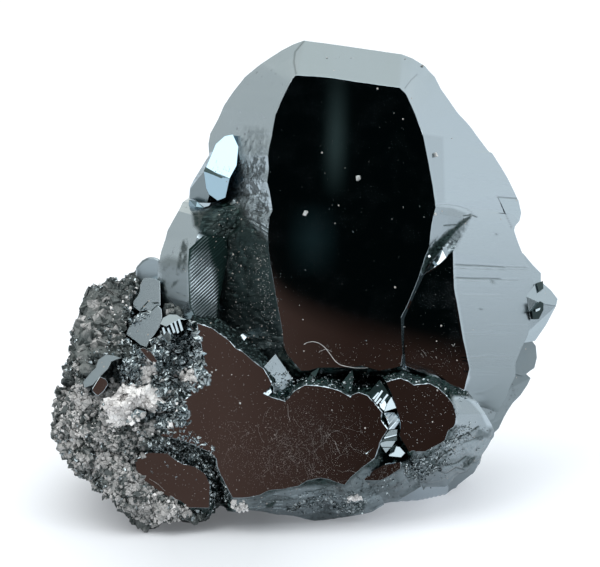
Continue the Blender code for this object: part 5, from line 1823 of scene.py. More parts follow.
@dataclass(frozen=True)
class Rock:
    """The granular matrix: a leaning broken lump covered in grains."""

    middle: Triple = (-13.4, -5.5, 8.2)
    low_side: Triple = (10.6, 6.6, 10.0)
    high_side: Triple = (6.5, 16.0, 12.0)
    power: float = 2.4
    lean: float = 0.5
    chips: tuple[tuple[Triple, float], ...] = (((-0.7, -0.1, -0.7), 7.9), ((-0.95, 0.0, 0.3), 9.9))
    sharpness: float = 12.0
    sides: int = 122
    heart: Pair = (128.0, 398.0)
    outline: Outline = (
        (226, 519), (207.5, 519.6), (203, 527), (198, 528), (187.9, 524), (175, 521), (166.4, 524),
        (155.7, 528.6), (149.5, 533), (142, 533), (135, 529), (122.7, 515), (109, 500), (98.6, 495.5),
        (90.5, 489.7), (87.6, 482), (82.5, 478), (74.4, 474.8), (68.7, 469), (61.8, 458.7), (57, 449.6),
        (53.8, 440.4), (49.8, 438), (50.3, 425), (53, 412.8), (53.8, 398), (57, 388.7), (61.8, 380.7),
        (62.5, 364.5), (67.5, 357.3), (70.6, 342), (69, 333), (73.7, 325.7), (77.8, 313.5), (80.8, 303.3),
        (84.9, 292), (95, 281.8), (105.3, 276.7), (115.5, 277.8), (123.7, 276.7), (133.9, 271.6),
        (142, 267), (156, 266),
    )
    knobs: tuple[tuple[float, float, float], ...] = (
        (91, 303, 17), (83, 328, 13), (112, 289, 13), (79, 349, 11), (128, 285, 8), (104, 318, 11),
        (97, 341, 12), (118, 306, 7), (82, 366, 9), (70, 382, 9),
    )
    recesses: tuple[tuple[Outline, float, float], ...] = (
        ((
            (135, 452), (166, 448), (184, 458), (200, 463), (212, 474), (216, 490), (212, 512), (186, 512),
            (168, 500), (140, 482), (130, 466),
        ), 1.0, 0.0),
        ((
            (150, 256), (160, 256), (162, 300), (163, 318), (160, 333), (148, 350), (138, 347), (123, 337),
            (124, 327), (131, 318), (131, 300), (137, 288), (134, 268),
        ), -11.0, 0.06),
        (((66, 262), (134, 262), (140, 300), (126, 350), (70, 352), (60, 300)), -8.6, 0.065),
        ((
            (84, 384), (87, 372), (100, 354), (118, 354), (124, 362), (110, 374), (112, 384), (100, 399),
            (90, 394),
        ), 0.6, 0.0),
        (((162, 318), (190, 314), (194, 340), (184, 352), (160, 342)), -0.8, 0.02),
    )
    tones: tuple[tuple[Outline, float], ...] = (
        (((150, 322), (200, 320), (215, 400), (186, 424), (165, 400), (112, 384), (110, 345), (135, 340)),
            0.12),
        (((150, 428), (205, 446), (226, 480), (240, 515), (212, 515), (208, 480), (180, 460), (150, 450)),
            0.05),
        (((96, 398), (120, 380), (165, 384), (176, 412), (140, 436), (104, 434)), 0.85),
        (((70, 275), (150, 262), (150, 300), (120, 345), (90, 372), (56, 392)), 0.5),
        (((120, 490), (180, 500), (210, 515), (150, 530)), 0.3),
    )

    def lumps(self) -> tuple[np.ndarray, np.ndarray, np.ndarray]:
        """Return the directions, angular radii and heights of the rounded lumps, as in the part."""
        rng = np.random.default_rng(11)
        directions = rng.normal(size=(90, 3))
        directions /= np.linalg.norm(directions, axis=1)[:, None]
        return directions, rng.uniform(0.16, 0.34, 90), rng.uniform(0.35, 1.15, 90)

    def surface(self, directions: np.ndarray) -> np.ndarray:
        """Return the rock's smooth surface along unit directions, in model millimetres.

        A superellipsoid with its own half size on each side is flattened softly by the broken
        sides, raised by the tallest rounded cap at each point, and leans back with height.

        Args:
            directions: Unit rows from the rock's middle.

        Returns:
            Rows of places.
        """
        lumps, radii, heights = self.lumps()
        half = np.where(directions > 0.0, self.high_side, self.low_side)
        total = (np.abs(directions / half) ** self.power).sum(axis=1)
        near = total ** (self.sharpness / self.power)
        for outward, distance in self.chips:
            near += (np.clip(directions @ np.array(outward), 0.0, None) / distance) ** self.sharpness
        radius = near ** (-1.0 / self.sharpness)
        angles = np.arccos(np.clip(directions @ lumps.T, -1.0, 1.0))
        caps = heights * np.clip(1.0 - (angles / radii) ** 2, 0.0, None)
        points = directions * (radius + caps.max(axis=1) - np.mean(heights) / 2.0)[:, None]
        points[:, 1] += self.lean * points[:, 2]
        return points + np.array(self.middle)

    def fitted(self, spots: np.ndarray) -> np.ndarray:
        """Stretch seen positions about the rock's middle until its outline is the seen one.

        Args:
            spots: Rows of (x, y).

        Returns:
            The rows, each moved along its ray from the middle by the ratio of the seen radius to
            the greatest radius in its direction. Where the outline is hidden the ratio is 1.
        """
        away = spots - self.heart
        angle = np.degrees(np.arctan2(away[:, 1], away[:, 0])) % 360.0
        radius = np.linalg.norm(away, axis=1)
        step = (angle / 3.0).astype(int)
        reach = np.array([radius[step == i].max() for i in range(120)])
        reach = (np.roll(reach, 1) + reach + np.roll(reach, -1)) / 3.0
        line = np.array(self.outline) - self.heart
        bearing = np.degrees(np.arctan2(line[:, 1], line[:, 0])) % 360.0
        order = np.argsort(bearing)
        middle = np.arange(120) * 3.0 + 1.5
        wanted = np.interp(middle, bearing[order], np.linalg.norm(line[order], axis=1))
        known = np.clip(np.minimum(middle - bearing.min(), bearing.max() - middle) / 6.0, 0.0, 1.0)
        ratio = 1.0 + (wanted / reach - 1.0) * known
        own = np.interp(angle, np.append(middle, middle[0] + 360.0), np.append(ratio, ratio[0]))
        return self.heart + away * own[:, None]

    def build(self, shop: Workshop) -> Piece:
        """Build the rock.

        Its smooth surface is raised by grains of three sizes, each with a slanting top, by noise
        and by rounded lumps at the upper left. It is fitted to the seen outline and pressed in
        behind the crystals that lie on it.

        Args:
            shop: Where it is finished.

        Returns:
            The piece.
        """
        directions, quads = sphere_points(self.sides)
        smooth = self.surface(directions)
        spots = in_view(to_plane(smooth))
        lump = np.zeros(len(smooth))
        for x, y, size in self.knobs:
            fall = 2.2 * ((spots - (x, y)) ** 2).sum(axis=1) / size**2
            lump = np.maximum(lump, np.clip(2.2 - fall, 0.0, 1.0))
        lump *= np.clip(0.1 + 3.0 * (directions @ OUT_OF_PLANE), 0.0, 1.0)
        rough = 1.0 - 0.8 * lump
        height = rough * (1.1 * facets(smooth, 2.3, 201, 1.5) + 0.6 * facets(smooth, 1.0, 211, 1.7))
        height += rough * 0.24 * facets(smooth, 0.45, 221, 1.7) + 0.6 * noise(smooth, 2.6, 231, 3) - 0.45
        height += lump * (0.6 + 0.8 * noise(smooth, 1.5, 261, 3))
        local = to_plane(smooth + directions * height[:, None])
        spots = self.fitted(in_view(local))
        depth = local[:, 2]
        for outline, top, fall in self.recesses:
            limit = top + fall * (spots[:, 1] - outline[0][1])
            share = inside(spots, outline, 6.0) * (depth > -10.0)
            depth = depth - share * np.clip(depth - limit, 0.0, None)
        pale = 0.42 + 0.3 * noise(smooth, 4.5, 241, 2) + 0.35 * noise(smooth, 1.6, 251, 2)
        for outline, level in self.tones:
            share = inside(spots, outline, 16.0)
            pale += (level - pale) * share
        # Painted shade: darker in the crevices between the knobs of the upper left.
        pale -= 0.35 * inside(spots, self.tones[3][0], 10.0) * (1.0 - lump)
        marks = {"pale": pale, "calm": lump}
        return shop.piece("granular_rock", place(seen(spots, depth)), quads, shop.rock, "matrix", marks, 16.0)


@dataclass(frozen=True)
class QuartzPatch:
    """The patch of sugary quartz on the rock, as seen."""

    outline: Outline = (
        (100.8, 401.4), (111, 397.3), (120.2, 389.2), (130.4, 383.1), (137.6, 388.2), (149.8, 384.1),
        (158, 391.2), (162, 399.4), (170.2, 406.5), (162, 412.7), (153.9, 411.6), (148.8, 407.6),
        (140.6, 405.5), (134.5, 415.7), (125.3, 420.8), (123.3, 428), (113, 432), (103.9, 420.8),
        (100.8, 410.6),
    )
    front: float = 2.9
    back: float = -1.0
    columns: int = 420
    rows: int = 72

    def build(self, shop: Workshop) -> Piece:
        """Build the patch.

        Rings shrink from the outline to its middle while their depth rises in a dome, and the
        dome carries grains of three sizes. A straight wall leads back to its root.

        Args:
            shop: Where it is finished.

        Returns:
            The piece.
        """
        corners = np.array(self.outline, float)
        knots = np.arange(len(corners) + 1)
        closed = np.concatenate([corners, corners[:1]])
        along = np.linspace(0.0, len(corners), self.columns, endpoint=False)
        line = np.stack([np.interp(along, knots, closed[:, i]) for i in range(2)], axis=1)
        centre = line.mean(axis=0)
        rows = []
        for share, depth in ((0.8, self.back), (0.95, 0.6)):
            rows.append(seen(centre + (line - centre) * share, depth))
        for share in np.linspace(1.0, 0.015, self.rows):
            dome = self.front - 1.2 * share**3
            rows.append(seen(centre + (line - centre) * share, dome))
        grid = np.array(rows)
        height = 0.65 * facets(grid, 1.35, 301, 1.6) + 0.22 * facets(grid, 0.6, 311, 1.5)
        height += 0.15 * noise(grid, 1.4, 321, 3)
        height[:1] = 0.0
        height[-1] = height[-1].mean()
        grid[..., 2] += height * np.clip(np.arange(len(grid))[:, None] / 3.0, 0.0, 1.0)
        grid[2:, :, :2] += 0.12 * np.stack([noise(grid[2:], 0.5, 331, 2), noise(grid[2:], 0.5, 341, 2)], -1)
        pale = noise(grid, 1.5, 351, 3) + 0.4
        return shop.rings("sugary_quartz", grid, shop.quartz, "quartz", {"pale": pale}, 12.0)


class Grain(Enum):
    """The shape that a small grain starts from, before it is stretched and turned."""

    FLAKE = "flake"
    BLOCK = "block"
    CRUMB = "crumb"

    def template(self) -> tuple[np.ndarray, np.ndarray]:
        """Return the shape's points, within a unit ball, and its triangles."""
        if self is Grain.BLOCK:
            points = np.array([[x, y, z] for z in (-1, 1) for y in (-1, 1) for x in (-1, 1)], float) * 0.6
            quads = ((0, 2, 3, 1), (4, 5, 7, 6), (0, 1, 5, 4), (2, 6, 7, 3), (0, 4, 6, 2), (1, 3, 7, 5))
            return points, np.array([t for a, b, c, d in quads for t in ((a, b, c), (a, c, d))])
        sides = 6 if self is Grain.FLAKE else 5
        angle = np.arange(sides) * 2.0 * math.pi / sides
        half, rim = (0.22, 0.8) if self is Grain.FLAKE else (0.55, 0.5)
        top = np.stack([rim * np.cos(angle), rim * np.sin(angle), np.full(sides, half)], 1)
        middle = np.stack([np.cos(angle), np.sin(angle), np.zeros(sides)], 1)
        low = top * (1.0, 1.0, -1.0)
        points = np.concatenate([top, middle, low])
        faces = []
        for i in range(sides):
            j = (i + 1) % sides
            for start in (0, sides):
                a, b, c, d = start + i, start + j, start + sides + i, start + sides + j
                faces += [(a, c, d), (a, d, b)]
            if 0 < i < sides - 1:
                faces += [(0, i, i + 1), (2 * sides, 2 * sides + i + 1, 2 * sides + i)]
        return points, np.array(faces)


def random_turns(rng: np.random.Generator, count: int) -> np.ndarray:
    """Return random turning matrices, worked out from random unit quaternions."""
    q = rng.normal(size=(count, 4))
    w, x, y, z = (q / np.linalg.norm(q, axis=1, keepdims=True)).T
    rows = (
        (1 - 2 * (y * y + z * z), 2 * (x * y - w * z), 2 * (x * z + w * y)),
        (2 * (x * y + w * z), 1 - 2 * (x * x + z * z), 2 * (y * z - w * x)),
        (2 * (x * z - w * y), 2 * (y * z + w * x), 1 - 2 * (x * x + y * y)),
    )
    return np.stack([np.stack(row, -1) for row in rows], -2)


def cluster(places: np.ndarray, sizes: np.ndarray, kind: Grain, seed: int) -> tuple[np.ndarray, np.ndarray]:
    """Put one turned and stretched grain at each place.

    Args:
        places: Rows of model places, in millimetres.
        sizes: The radius of each grain.
        kind: The shape that they start from.
        seed: Chooses the turns.

    Returns:
        All points and all triangles: each template point is jittered, stretched by the grain's
        own three factors, turned and moved.
    """
    rng = np.random.default_rng(seed)
    points, faces = kind.template()
    count = len(places)
    stretch = rng.uniform(0.65, 1.25, (count, 1, 3)) * sizes[:, None, None]
    own = (points[None] + rng.uniform(-0.26, 0.26, (count, len(points), 3))) * stretch
    own = np.einsum("nij,nkj->nki", random_turns(rng, count), own) + places[:, None]
    index = faces[None] + (np.arange(count) * len(points))[:, None, None]
    return own.reshape(-1, 3), index.reshape(-1, 3)


@dataclass(frozen=True)
class Scatter:
    """A mass of small grains that sits on what is seen inside an outline."""

    name: str
    outline: Outline
    count: int
    sizes: Pair
    kind: Grain
    seed: int
    sunk: float = 0.35
    free: tuple[Outline, ...] = ()
    pale: Pair = (0.2, 0.8)

    def build(self, shop: Workshop, tree: BVHTree, material: Material, slot: str) -> Piece | None:
        """Build the mass.

        Random positions inside the outline are followed from the eye to what they meet, and a
        grain is put there, sunk by a share of its size.

        Args:
            shop: Where it is finished.
            tree: The surfaces that grains sit on, in metres.
            material: The grains' material.
            slot: The record's material slot.

        Returns:
            The piece.
        """
        rng = np.random.default_rng(self.seed)
        corners = np.array(self.outline, float)
        spots = rng.uniform(corners.min(axis=0), corners.max(axis=0), (self.count * 3, 2))
        spots = spots[inside(spots, self.outline, 8.0) > rng.uniform(0.0, 1.0, len(spots))]
        for outline in self.free:
            spots = spots[inside(spots, outline, 2.0) < 0.5]
        spots = spots[: self.count]
        sizes = rng.uniform(0.0, 1.0, len(spots)) ** 1.8 * (self.sizes[1] - self.sizes[0]) + self.sizes[0]
        places, kept = [], []
        for spot, size in zip(spots, sizes):
            hit = look(tree, spot)
            if hit is not None:
                point, normal = hit
                places.append(point + normal * size * (0.5 - self.sunk))
                kept.append(size)
        points, faces = cluster(np.array(places), np.array(kept), self.kind, self.seed + 1)
        tone = rng.uniform(*self.pale, len(kept)) + 0.45 * noise(np.array(places), 0.9, 97, 2)
        pale = np.repeat(tone, len(points) // len(kept))
        return shop.piece(self.name, points, faces, material, slot, {"pale": pale}, None, outward=False)


EYE = PLANE_FOOT + UP_PLANE * AXIS_HEIGHT + OUT_OF_PLANE * VIEW_DISTANCE


def look(tree: BVHTree, spot: np.ndarray) -> tuple[np.ndarray, np.ndarray] | None:
    """Follow a position in the view from the eye to what it meets.

    Args:
        tree: The surfaces, in metres.
        spot: The position (x, y).

    Returns:
        The place in millimetres and the surface's outward direction, or None.
    """
    target = place(seen(np.array([[spot[0], spot[1], 0.0]])))[0]
    way = Vector(target - EYE).normalized()
    point, normal, _, _ = tree.ray_cast(Vector(EYE * MM), way)
    if point is None:
        return None
    if normal.dot(way) > 0.0:
        normal = -normal
    return np.array(point) / MM, np.array(normal)


LEFT_CRYSTALS = (
    (150, 254), (161, 256), (163, 318), (159, 333), (147, 350), (124, 333), (140, 316), (128, 304),
    (138, 290), (133, 268),
)
EDGE_CRYSTALS = (
    (83, 384), (86, 372), (100, 355), (118, 354), (124, 362), (110, 374), (110, 386), (100, 399), (90, 395),
)
COMB_ZONE = ((161, 315), (188, 318), (187, 345), (163, 343))
QUARTZ_SPOTS = (
    ((141, 363), (152, 360), (155, 374), (146, 382), (140, 374)),
    ((178, 370), (194, 368), (198, 378), (186, 386), (176, 380)),
)
FREE = (LEFT_CRYSTALS, EDGE_CRYSTALS, LOW_FACE_LINE, COMB_ZONE, BLADE_LINE)
KNOB_TURNS = [(math.cos(k * math.pi / 5.0), math.sin(k * math.pi / 5.0)) for k in range(10)]
KNOBS = tuple(tuple((x + 0.8 * r * a, y + 0.8 * r * b) for a, b in KNOB_TURNS) for x, y, r in Rock.knobs)
PATCH_ZONE = ((104, 402), (120, 386), (150, 385), (166, 402), (150, 410), (134, 417), (125, 425), (110, 425))
MASSES = (
    Scatter("flakes_by_plate", (
        (150, 326), (190, 318), (205, 350), (212, 385), (190, 396), (186, 428), (150, 430), (120, 380),
        (135, 345),
    ), 1300, (0.08, 0.5), Grain.FLAKE, 401, free=(*FREE, PATCH_ZONE, FRONT_FACE_LINE, *QUARTZ_SPOTS)),
    Scatter("flakes_under_comb", ((160, 336), (184, 336), (192, 352), (186, 364), (172, 366), (160, 356)),
        300, (0.12, 0.5), Grain.FLAKE, 406, 0.0, (FRONT_FACE_LINE,)),
    Scatter("flakes_on_rock", (
        (75, 290), (150, 262), (165, 320), (150, 400), (215, 450), (215, 520), (150, 525), (70, 470),
        (55, 430),
    ), 1700, (0.05, 0.24), Grain.FLAKE, 411, free=(*FREE, PATCH_ZONE, *KNOBS, *QUARTZ_SPOTS)),
    Scatter("flakes_in_groove", (
        (262, 372), (300, 374), (395, 374), (470, 394), (462, 402), (430, 384), (404, 380), (388, 384),
        (352, 392), (304, 386), (286, 402), (268, 398),
    ), 420, (0.04, 0.16), Grain.FLAKE, 421, free=(FRONT_FACE_LINE, SIDE_FACE_LINE)),
    Scatter("flakes_under", (
        (240, 498), (340, 486), (380, 478), (400, 468), (414, 455), (446, 444), (490, 432), (478, 455),
        (440, 482), (380, 500), (300, 512), (244, 508),
    ), 300, (0.03, 0.12), Grain.FLAKE, 431, free=(FRONT_FACE_LINE, SIDE_FACE_LINE, SMALL_FACE_LINE)),
    Scatter("flakes_under_glints", (
        (286, 506), (300, 498), (326, 492), (342, 495), (366, 498), (362, 512), (342, 514), (330, 505),
        (300, 513),
    ), 300, (0.05, 0.19), Grain.FLAKE, 461, free=(FRONT_FACE_LINE,)),
    Scatter("flakes_beside_plate", (
        (404, 470), (412, 457), (430, 452), (446, 442), (450, 430), (470, 421), (480, 427), (470, 436),
        (455, 446), (450, 464), (432, 474), (412, 480),
    ), 300, (0.06, 0.2), Grain.FLAKE, 471, free=(SIDE_FACE_LINE,)),
    Scatter("flakes_on_perched", ((207, 160), (232, 168), (229, 177), (208, 166)), 24, (0.03, 0.06),
        Grain.FLAKE, 481),
    Scatter("flakes_in_left_gap", ((130, 306), (140, 310), (151, 311), (146, 318), (138, 321), (128, 326)),
        70, (0.06, 0.22), Grain.FLAKE, 491),
    Scatter("flakes_between_plates", (
        (160, 436), (200, 448), (217, 460), (222, 478), (232, 498), (212, 510), (210, 486), (206, 472),
        (182, 462), (150, 450),
    ), 700, (0.04, 0.2), Grain.FLAKE, 441, free=(FRONT_FACE_LINE, LOW_FACE_LINE)),
    Scatter("flakes_in_hollow", Zone.DUSTY.value, 500, (0.015, 0.05), Grain.FLAKE, 451),
)
QUARTZ_MASSES = (
    Scatter("quartz_on_rock", (
        (62, 400), (100, 380), (104, 400), (104, 424), (120, 434), (110, 446), (84, 444), (56, 424),
    ), 420, (0.05, 0.24), Grain.BLOCK, 501, free=FREE),
    Scatter("quartz_by_patch", ((96, 400), (120, 380), (165, 380), (188, 418), (140, 440), (90, 440)), 420,
        (0.05, 0.3), Grain.BLOCK, 511, free=FREE),
    Scatter("quartz_top_left", ((80, 300), (96, 280), (134, 275), (140, 330), (110, 360), (66, 360)), 50,
        (0.06, 0.22), Grain.BLOCK, 521, free=(*FREE, *KNOBS)),
    Scatter("quartz_small_patch_top", QUARTZ_SPOTS[0], 90, (0.12, 0.36), Grain.BLOCK, 531),
    Scatter("quartz_small_patch_right", QUARTZ_SPOTS[1], 70, (0.12, 0.32), Grain.BLOCK, 541),
    Scatter("quartz_by_foot", ((138, 494), (158, 498), (176, 508), (168, 524), (152, 524)), 170,
        (0.08, 0.3), Grain.BLOCK, 551),
    Scatter("quartz_at_corner", ((232, 500), (247, 500), (247, 511), (236, 512)), 26, (0.14, 0.34),
        Grain.BLOCK, 561),
    Scatter("quartz_on_underside", ((346, 500), (352, 497.5), (362, 496.5), (360, 499.5), (350, 503)), 9,
        (0.3, 0.42), Grain.BLOCK, 571, 0.7),
)
ROCK_MASSES = (
    Scatter("lumps_top_left", (
        (76, 302), (96, 280), (130, 276), (132, 300), (118, 346), (100, 352), (74, 374),
    ), 56, (0.4, 0.95), Grain.BLOCK, 527, 0.75, FREE, (0.45, 0.8)),
    Scatter("lumps_on_rock", (
        (60, 395), (100, 376), (150, 400), (170, 420), (140, 440), (150, 480), (180, 512), (150, 520),
        (80, 466), (58, 430),
    ), 150, (0.3, 0.66), Grain.BLOCK, 507, 0.6, (*FREE, PATCH_ZONE), (0.3, 1.3)),
    Scatter("grains_by_foot", ((112, 450), (150, 480), (190, 512), (175, 524), (150, 528), (104, 496)),
        420, (0.08, 0.34), Grain.BLOCK, 515, free=FREE, pale=(0.9, 1.8)),
    Scatter("grains_on_rock", (
        (56, 392), (100, 376), (150, 396), (170, 415), (140, 440), (150, 480), (190, 515), (150, 526),
        (75, 470), (52, 430),
    ), 2100, (0.06, 0.33), Grain.BLOCK, 505, free=(*FREE, PATCH_ZONE), pale=(0.45, 1.3)),
    Scatter("grains_top_left", ((64, 290), (96, 272), (134, 268), (134, 320), (120, 360), (66, 392)), 500,
        (0.05, 0.22), Grain.BLOCK, 525, free=(*FREE, *KNOBS), pale=(0.1, 0.9)),
)


@dataclass(frozen=True)
class Fibre:
    """A lint fibre that lies on what carries it: the positions it passes and its thickness."""

    path: Outline
    radius: float = 0.02


class Litter:
    """Dust specks and lint fibres on the mirror faces."""

    FIBRES = (
        Fibre((
            (303, 345), (307, 342.5), (313, 341.5), (319, 343), (325, 347.5), (330, 354), (335, 361),
            (340, 365), (348, 367), (358, 368), (370, 367.5),
        ), 0.03),
        Fibre(((421, 349.5), (424, 352), (426.5, 356.5)), 0.01),
        Fibre(((420.5, 353), (423, 356), (423.5, 358)), 0.008),
        Fibre(((451, 343.5), (453.5, 346.5), (455, 343)), 0.012),
        Fibre(((288, 404), (288, 414), (290.5, 423)), 0.006),
        Fibre(((334.5, 440), (337, 448), (340.6, 455)), 0.008),
        Fibre(((318, 352), (326, 349), (333, 352)), 0.012),
        Fibre(((148, 478), (158, 484), (166, 492)), 0.01),
    )
    SPECKS = (
        ((305, 213), 0.46), ((306.6, 212), 0.3), ((358, 178), 0.44), ((359, 179.4), 0.3),
        ((435, 155), 0.42), ((434.5, 214), 0.4), ((422, 66), 0.24), ((327, 58), 0.14), ((452, 138.5), 0.12),
        ((394, 113), 0.08), ((424, 217), 0.08), ((392, 219), 0.08), ((345, 168), 0.06), ((351, 58), 0.1),
        ((405, 59), 0.14), ((212, 372), 0.2), ((216, 370), 0.16), ((240, 403), 0.16), ((277, 394), 0.08),
        ((332, 410), 0.08), ((275, 435), 0.08),
    )

    def _tube(self, points: np.ndarray, radius: float) -> tuple[np.ndarray, np.ndarray]:
        """Return a thin four-sided tube along a path, closed at both ends.

        Each ring's corners stand off the path along two directions across it.
        """
        along = np.gradient(points, axis=0)
        along /= np.linalg.norm(along, axis=1, keepdims=True) + 1e-9
        first = np.cross(along, OUT_OF_PLANE)
        first /= np.linalg.norm(first, axis=1, keepdims=True) + 1e-9
        second = np.cross(along, first)
        angle = np.arange(4) * math.pi / 2.0
        cosine, sine = np.cos(angle)[None, :, None], np.sin(angle)[None, :, None]
        rings = points[:, None] + radius * (first[:, None] * cosine + second[:, None] * sine)
        quads = grid_faces(len(points), 4)
        split = np.concatenate([quads[:, (0, 1, 2)], quads[:, (0, 2, 3)]])
        last = 4 * (len(points) - 1)
        caps = np.array([(0, 2, 1), (0, 3, 2), (last, last + 1, last + 2), (last, last + 2, last + 3)])
        return rings.reshape(-1, 3), np.concatenate([split, caps])

    def fibres(self, shop: Workshop, tree: BVHTree) -> Piece:
        """Build the named fibres and a tangle of hair-thin ones on the front plate.

        Args:
            shop: Where they are finished.
            tree: The surfaces that they lie on, in metres.

        Returns:
            The piece.
        """
        rng = np.random.default_rng(601)
        fibres = list(self.FIBRES)
        for _ in range(110):
            x, y = rng.normal(306, 42), rng.normal(452, 16)
            angle = rng.uniform(0.0, 2.0 * math.pi)
            turn = rng.normal(0.0, 0.14)
            path = []
            for _ in range(rng.integers(6, 15)):
                path.append((x, y))
                x += 2.2 * math.cos(angle)
                y += 2.2 * math.sin(angle)
                angle += turn + rng.normal(0.0, 0.2)
            fibres.append(Fibre(tuple(path), rng.uniform(0.0008, 0.0022)))
        points, faces, start = [], [], 0
        for fibre in fibres:
            knots = np.array(fibre.path)
            fine = np.linspace(0, len(knots) - 1, 5 * len(knots))
            spots = np.stack([np.interp(fine, np.arange(len(knots)), knots[:, i]) for i in range(2)], 1)
            spots = (spots + np.roll(spots, 1, 0) + np.roll(spots, -1, 0))[1:-1] / 3.0
            hits = [look(tree, spot) for spot in spots]
            line = np.array([hit[0] + hit[1] * fibre.radius for hit in hits if hit is not None])
            if len(line) < 4 or np.linalg.norm(np.diff(line, axis=0), axis=1).max() > 0.8:
                continue
            own, corners = self._tube(line, fibre.radius)
            points.append(own)
            faces.append(corners + start)
            start += len(own)
        points, faces = np.concatenate(points), np.concatenate(faces)
        return shop.piece("lint", points, faces, shop.lint, "quartz", None, None)

    def specks(self, shop: Workshop, tree: BVHTree) -> Piece:
        """Build the specks of dust.

        Args:
            shop: Where they are finished.
            tree: The surfaces that they lie on, in metres.

        Returns:
            The piece.
        """
        rng = np.random.default_rng(611)
        regions = (
            ((
                (200, 330), (262, 372), (380, 400), (384, 440), (340, 480), (236, 494), (218, 450),
                (190, 436), (200, 395),
            ), 520, 0.034),
            (((286, 346), (400, 340), (400, 366), (300, 368)), 110, 0.035),
            (((404, 345), (466, 350), (466, 386), (424, 368), (404, 362)), 90, 0.03),
            (((396, 384), (452, 390), (452, 426), (410, 450), (402, 430)), 130, 0.04),
            (((272, 100), (400, 92), (430, 200), (410, 300), (286, 300), (270, 200)), 90, 0.022),
            (((420, 80), (500, 170), (530, 270), (520, 380), (475, 380), (440, 200)), 60, 0.03),
            (((224, 240), (266, 244), (276, 330), (262, 350), (226, 326)), 420, 0.036),
            (((252, 244), (266, 246), (280, 346), (266, 346)), 160, 0.055),
            (((140, 458), (180, 465), (206, 480), (206, 504), (170, 494)), 60, 0.04),
            (((366, 478), (386, 465), (401, 463), (399, 470), (380, 480)), 120, 0.03),
            (((420, 280), (452, 256), (464, 340), (464, 380), (406, 360)), 120, 0.022),
            (((300, 50), (400, 60), (400, 82), (300, 70)), 30, 0.03),
        )
        spots = [np.array(spot) for spot, _ in self.SPECKS]
        sizes = [size for _, size in self.SPECKS]
        for outline, count, size in regions:
            corners = np.array(outline, float)
            found = rng.uniform(corners.min(axis=0), corners.max(axis=0), (count * 3, 2))
            found = found[inside(found, outline, 2.0) > 0.5][:count]
            spots.extend(found)
            sizes.extend(size * rng.uniform(0.4, 1.5, len(found)))
        veil = np.stack([rng.normal(290, 52, 5200), rng.normal(446, 24, 5200)], axis=1)
        cloud = noise(np.column_stack([veil, np.zeros(len(veil))]), 26.0, 631, 3)
        veil = veil[(inside(veil, FRONT_FACE_LINE, 2.0) > 0.5) & (cloud > rng.uniform(-0.5, 0.6, len(veil)))]
        spots.extend(veil)
        sizes.extend(rng.uniform(0.012, 0.028, len(veil)))
        hits = [look(tree, spot) for spot in spots]
        pairs = [(hit, size) for hit, size in zip(hits, sizes) if hit is not None]
        places = np.array([hit[0] + hit[1] * size * 0.2 for hit, size in pairs])
        points, faces = cluster(places, np.array([0.55 * size for _, size in pairs]), Grain.BLOCK, 621)
        return shop.piece("dust_specks", points, faces, shop.lint, "quartz", None, None)


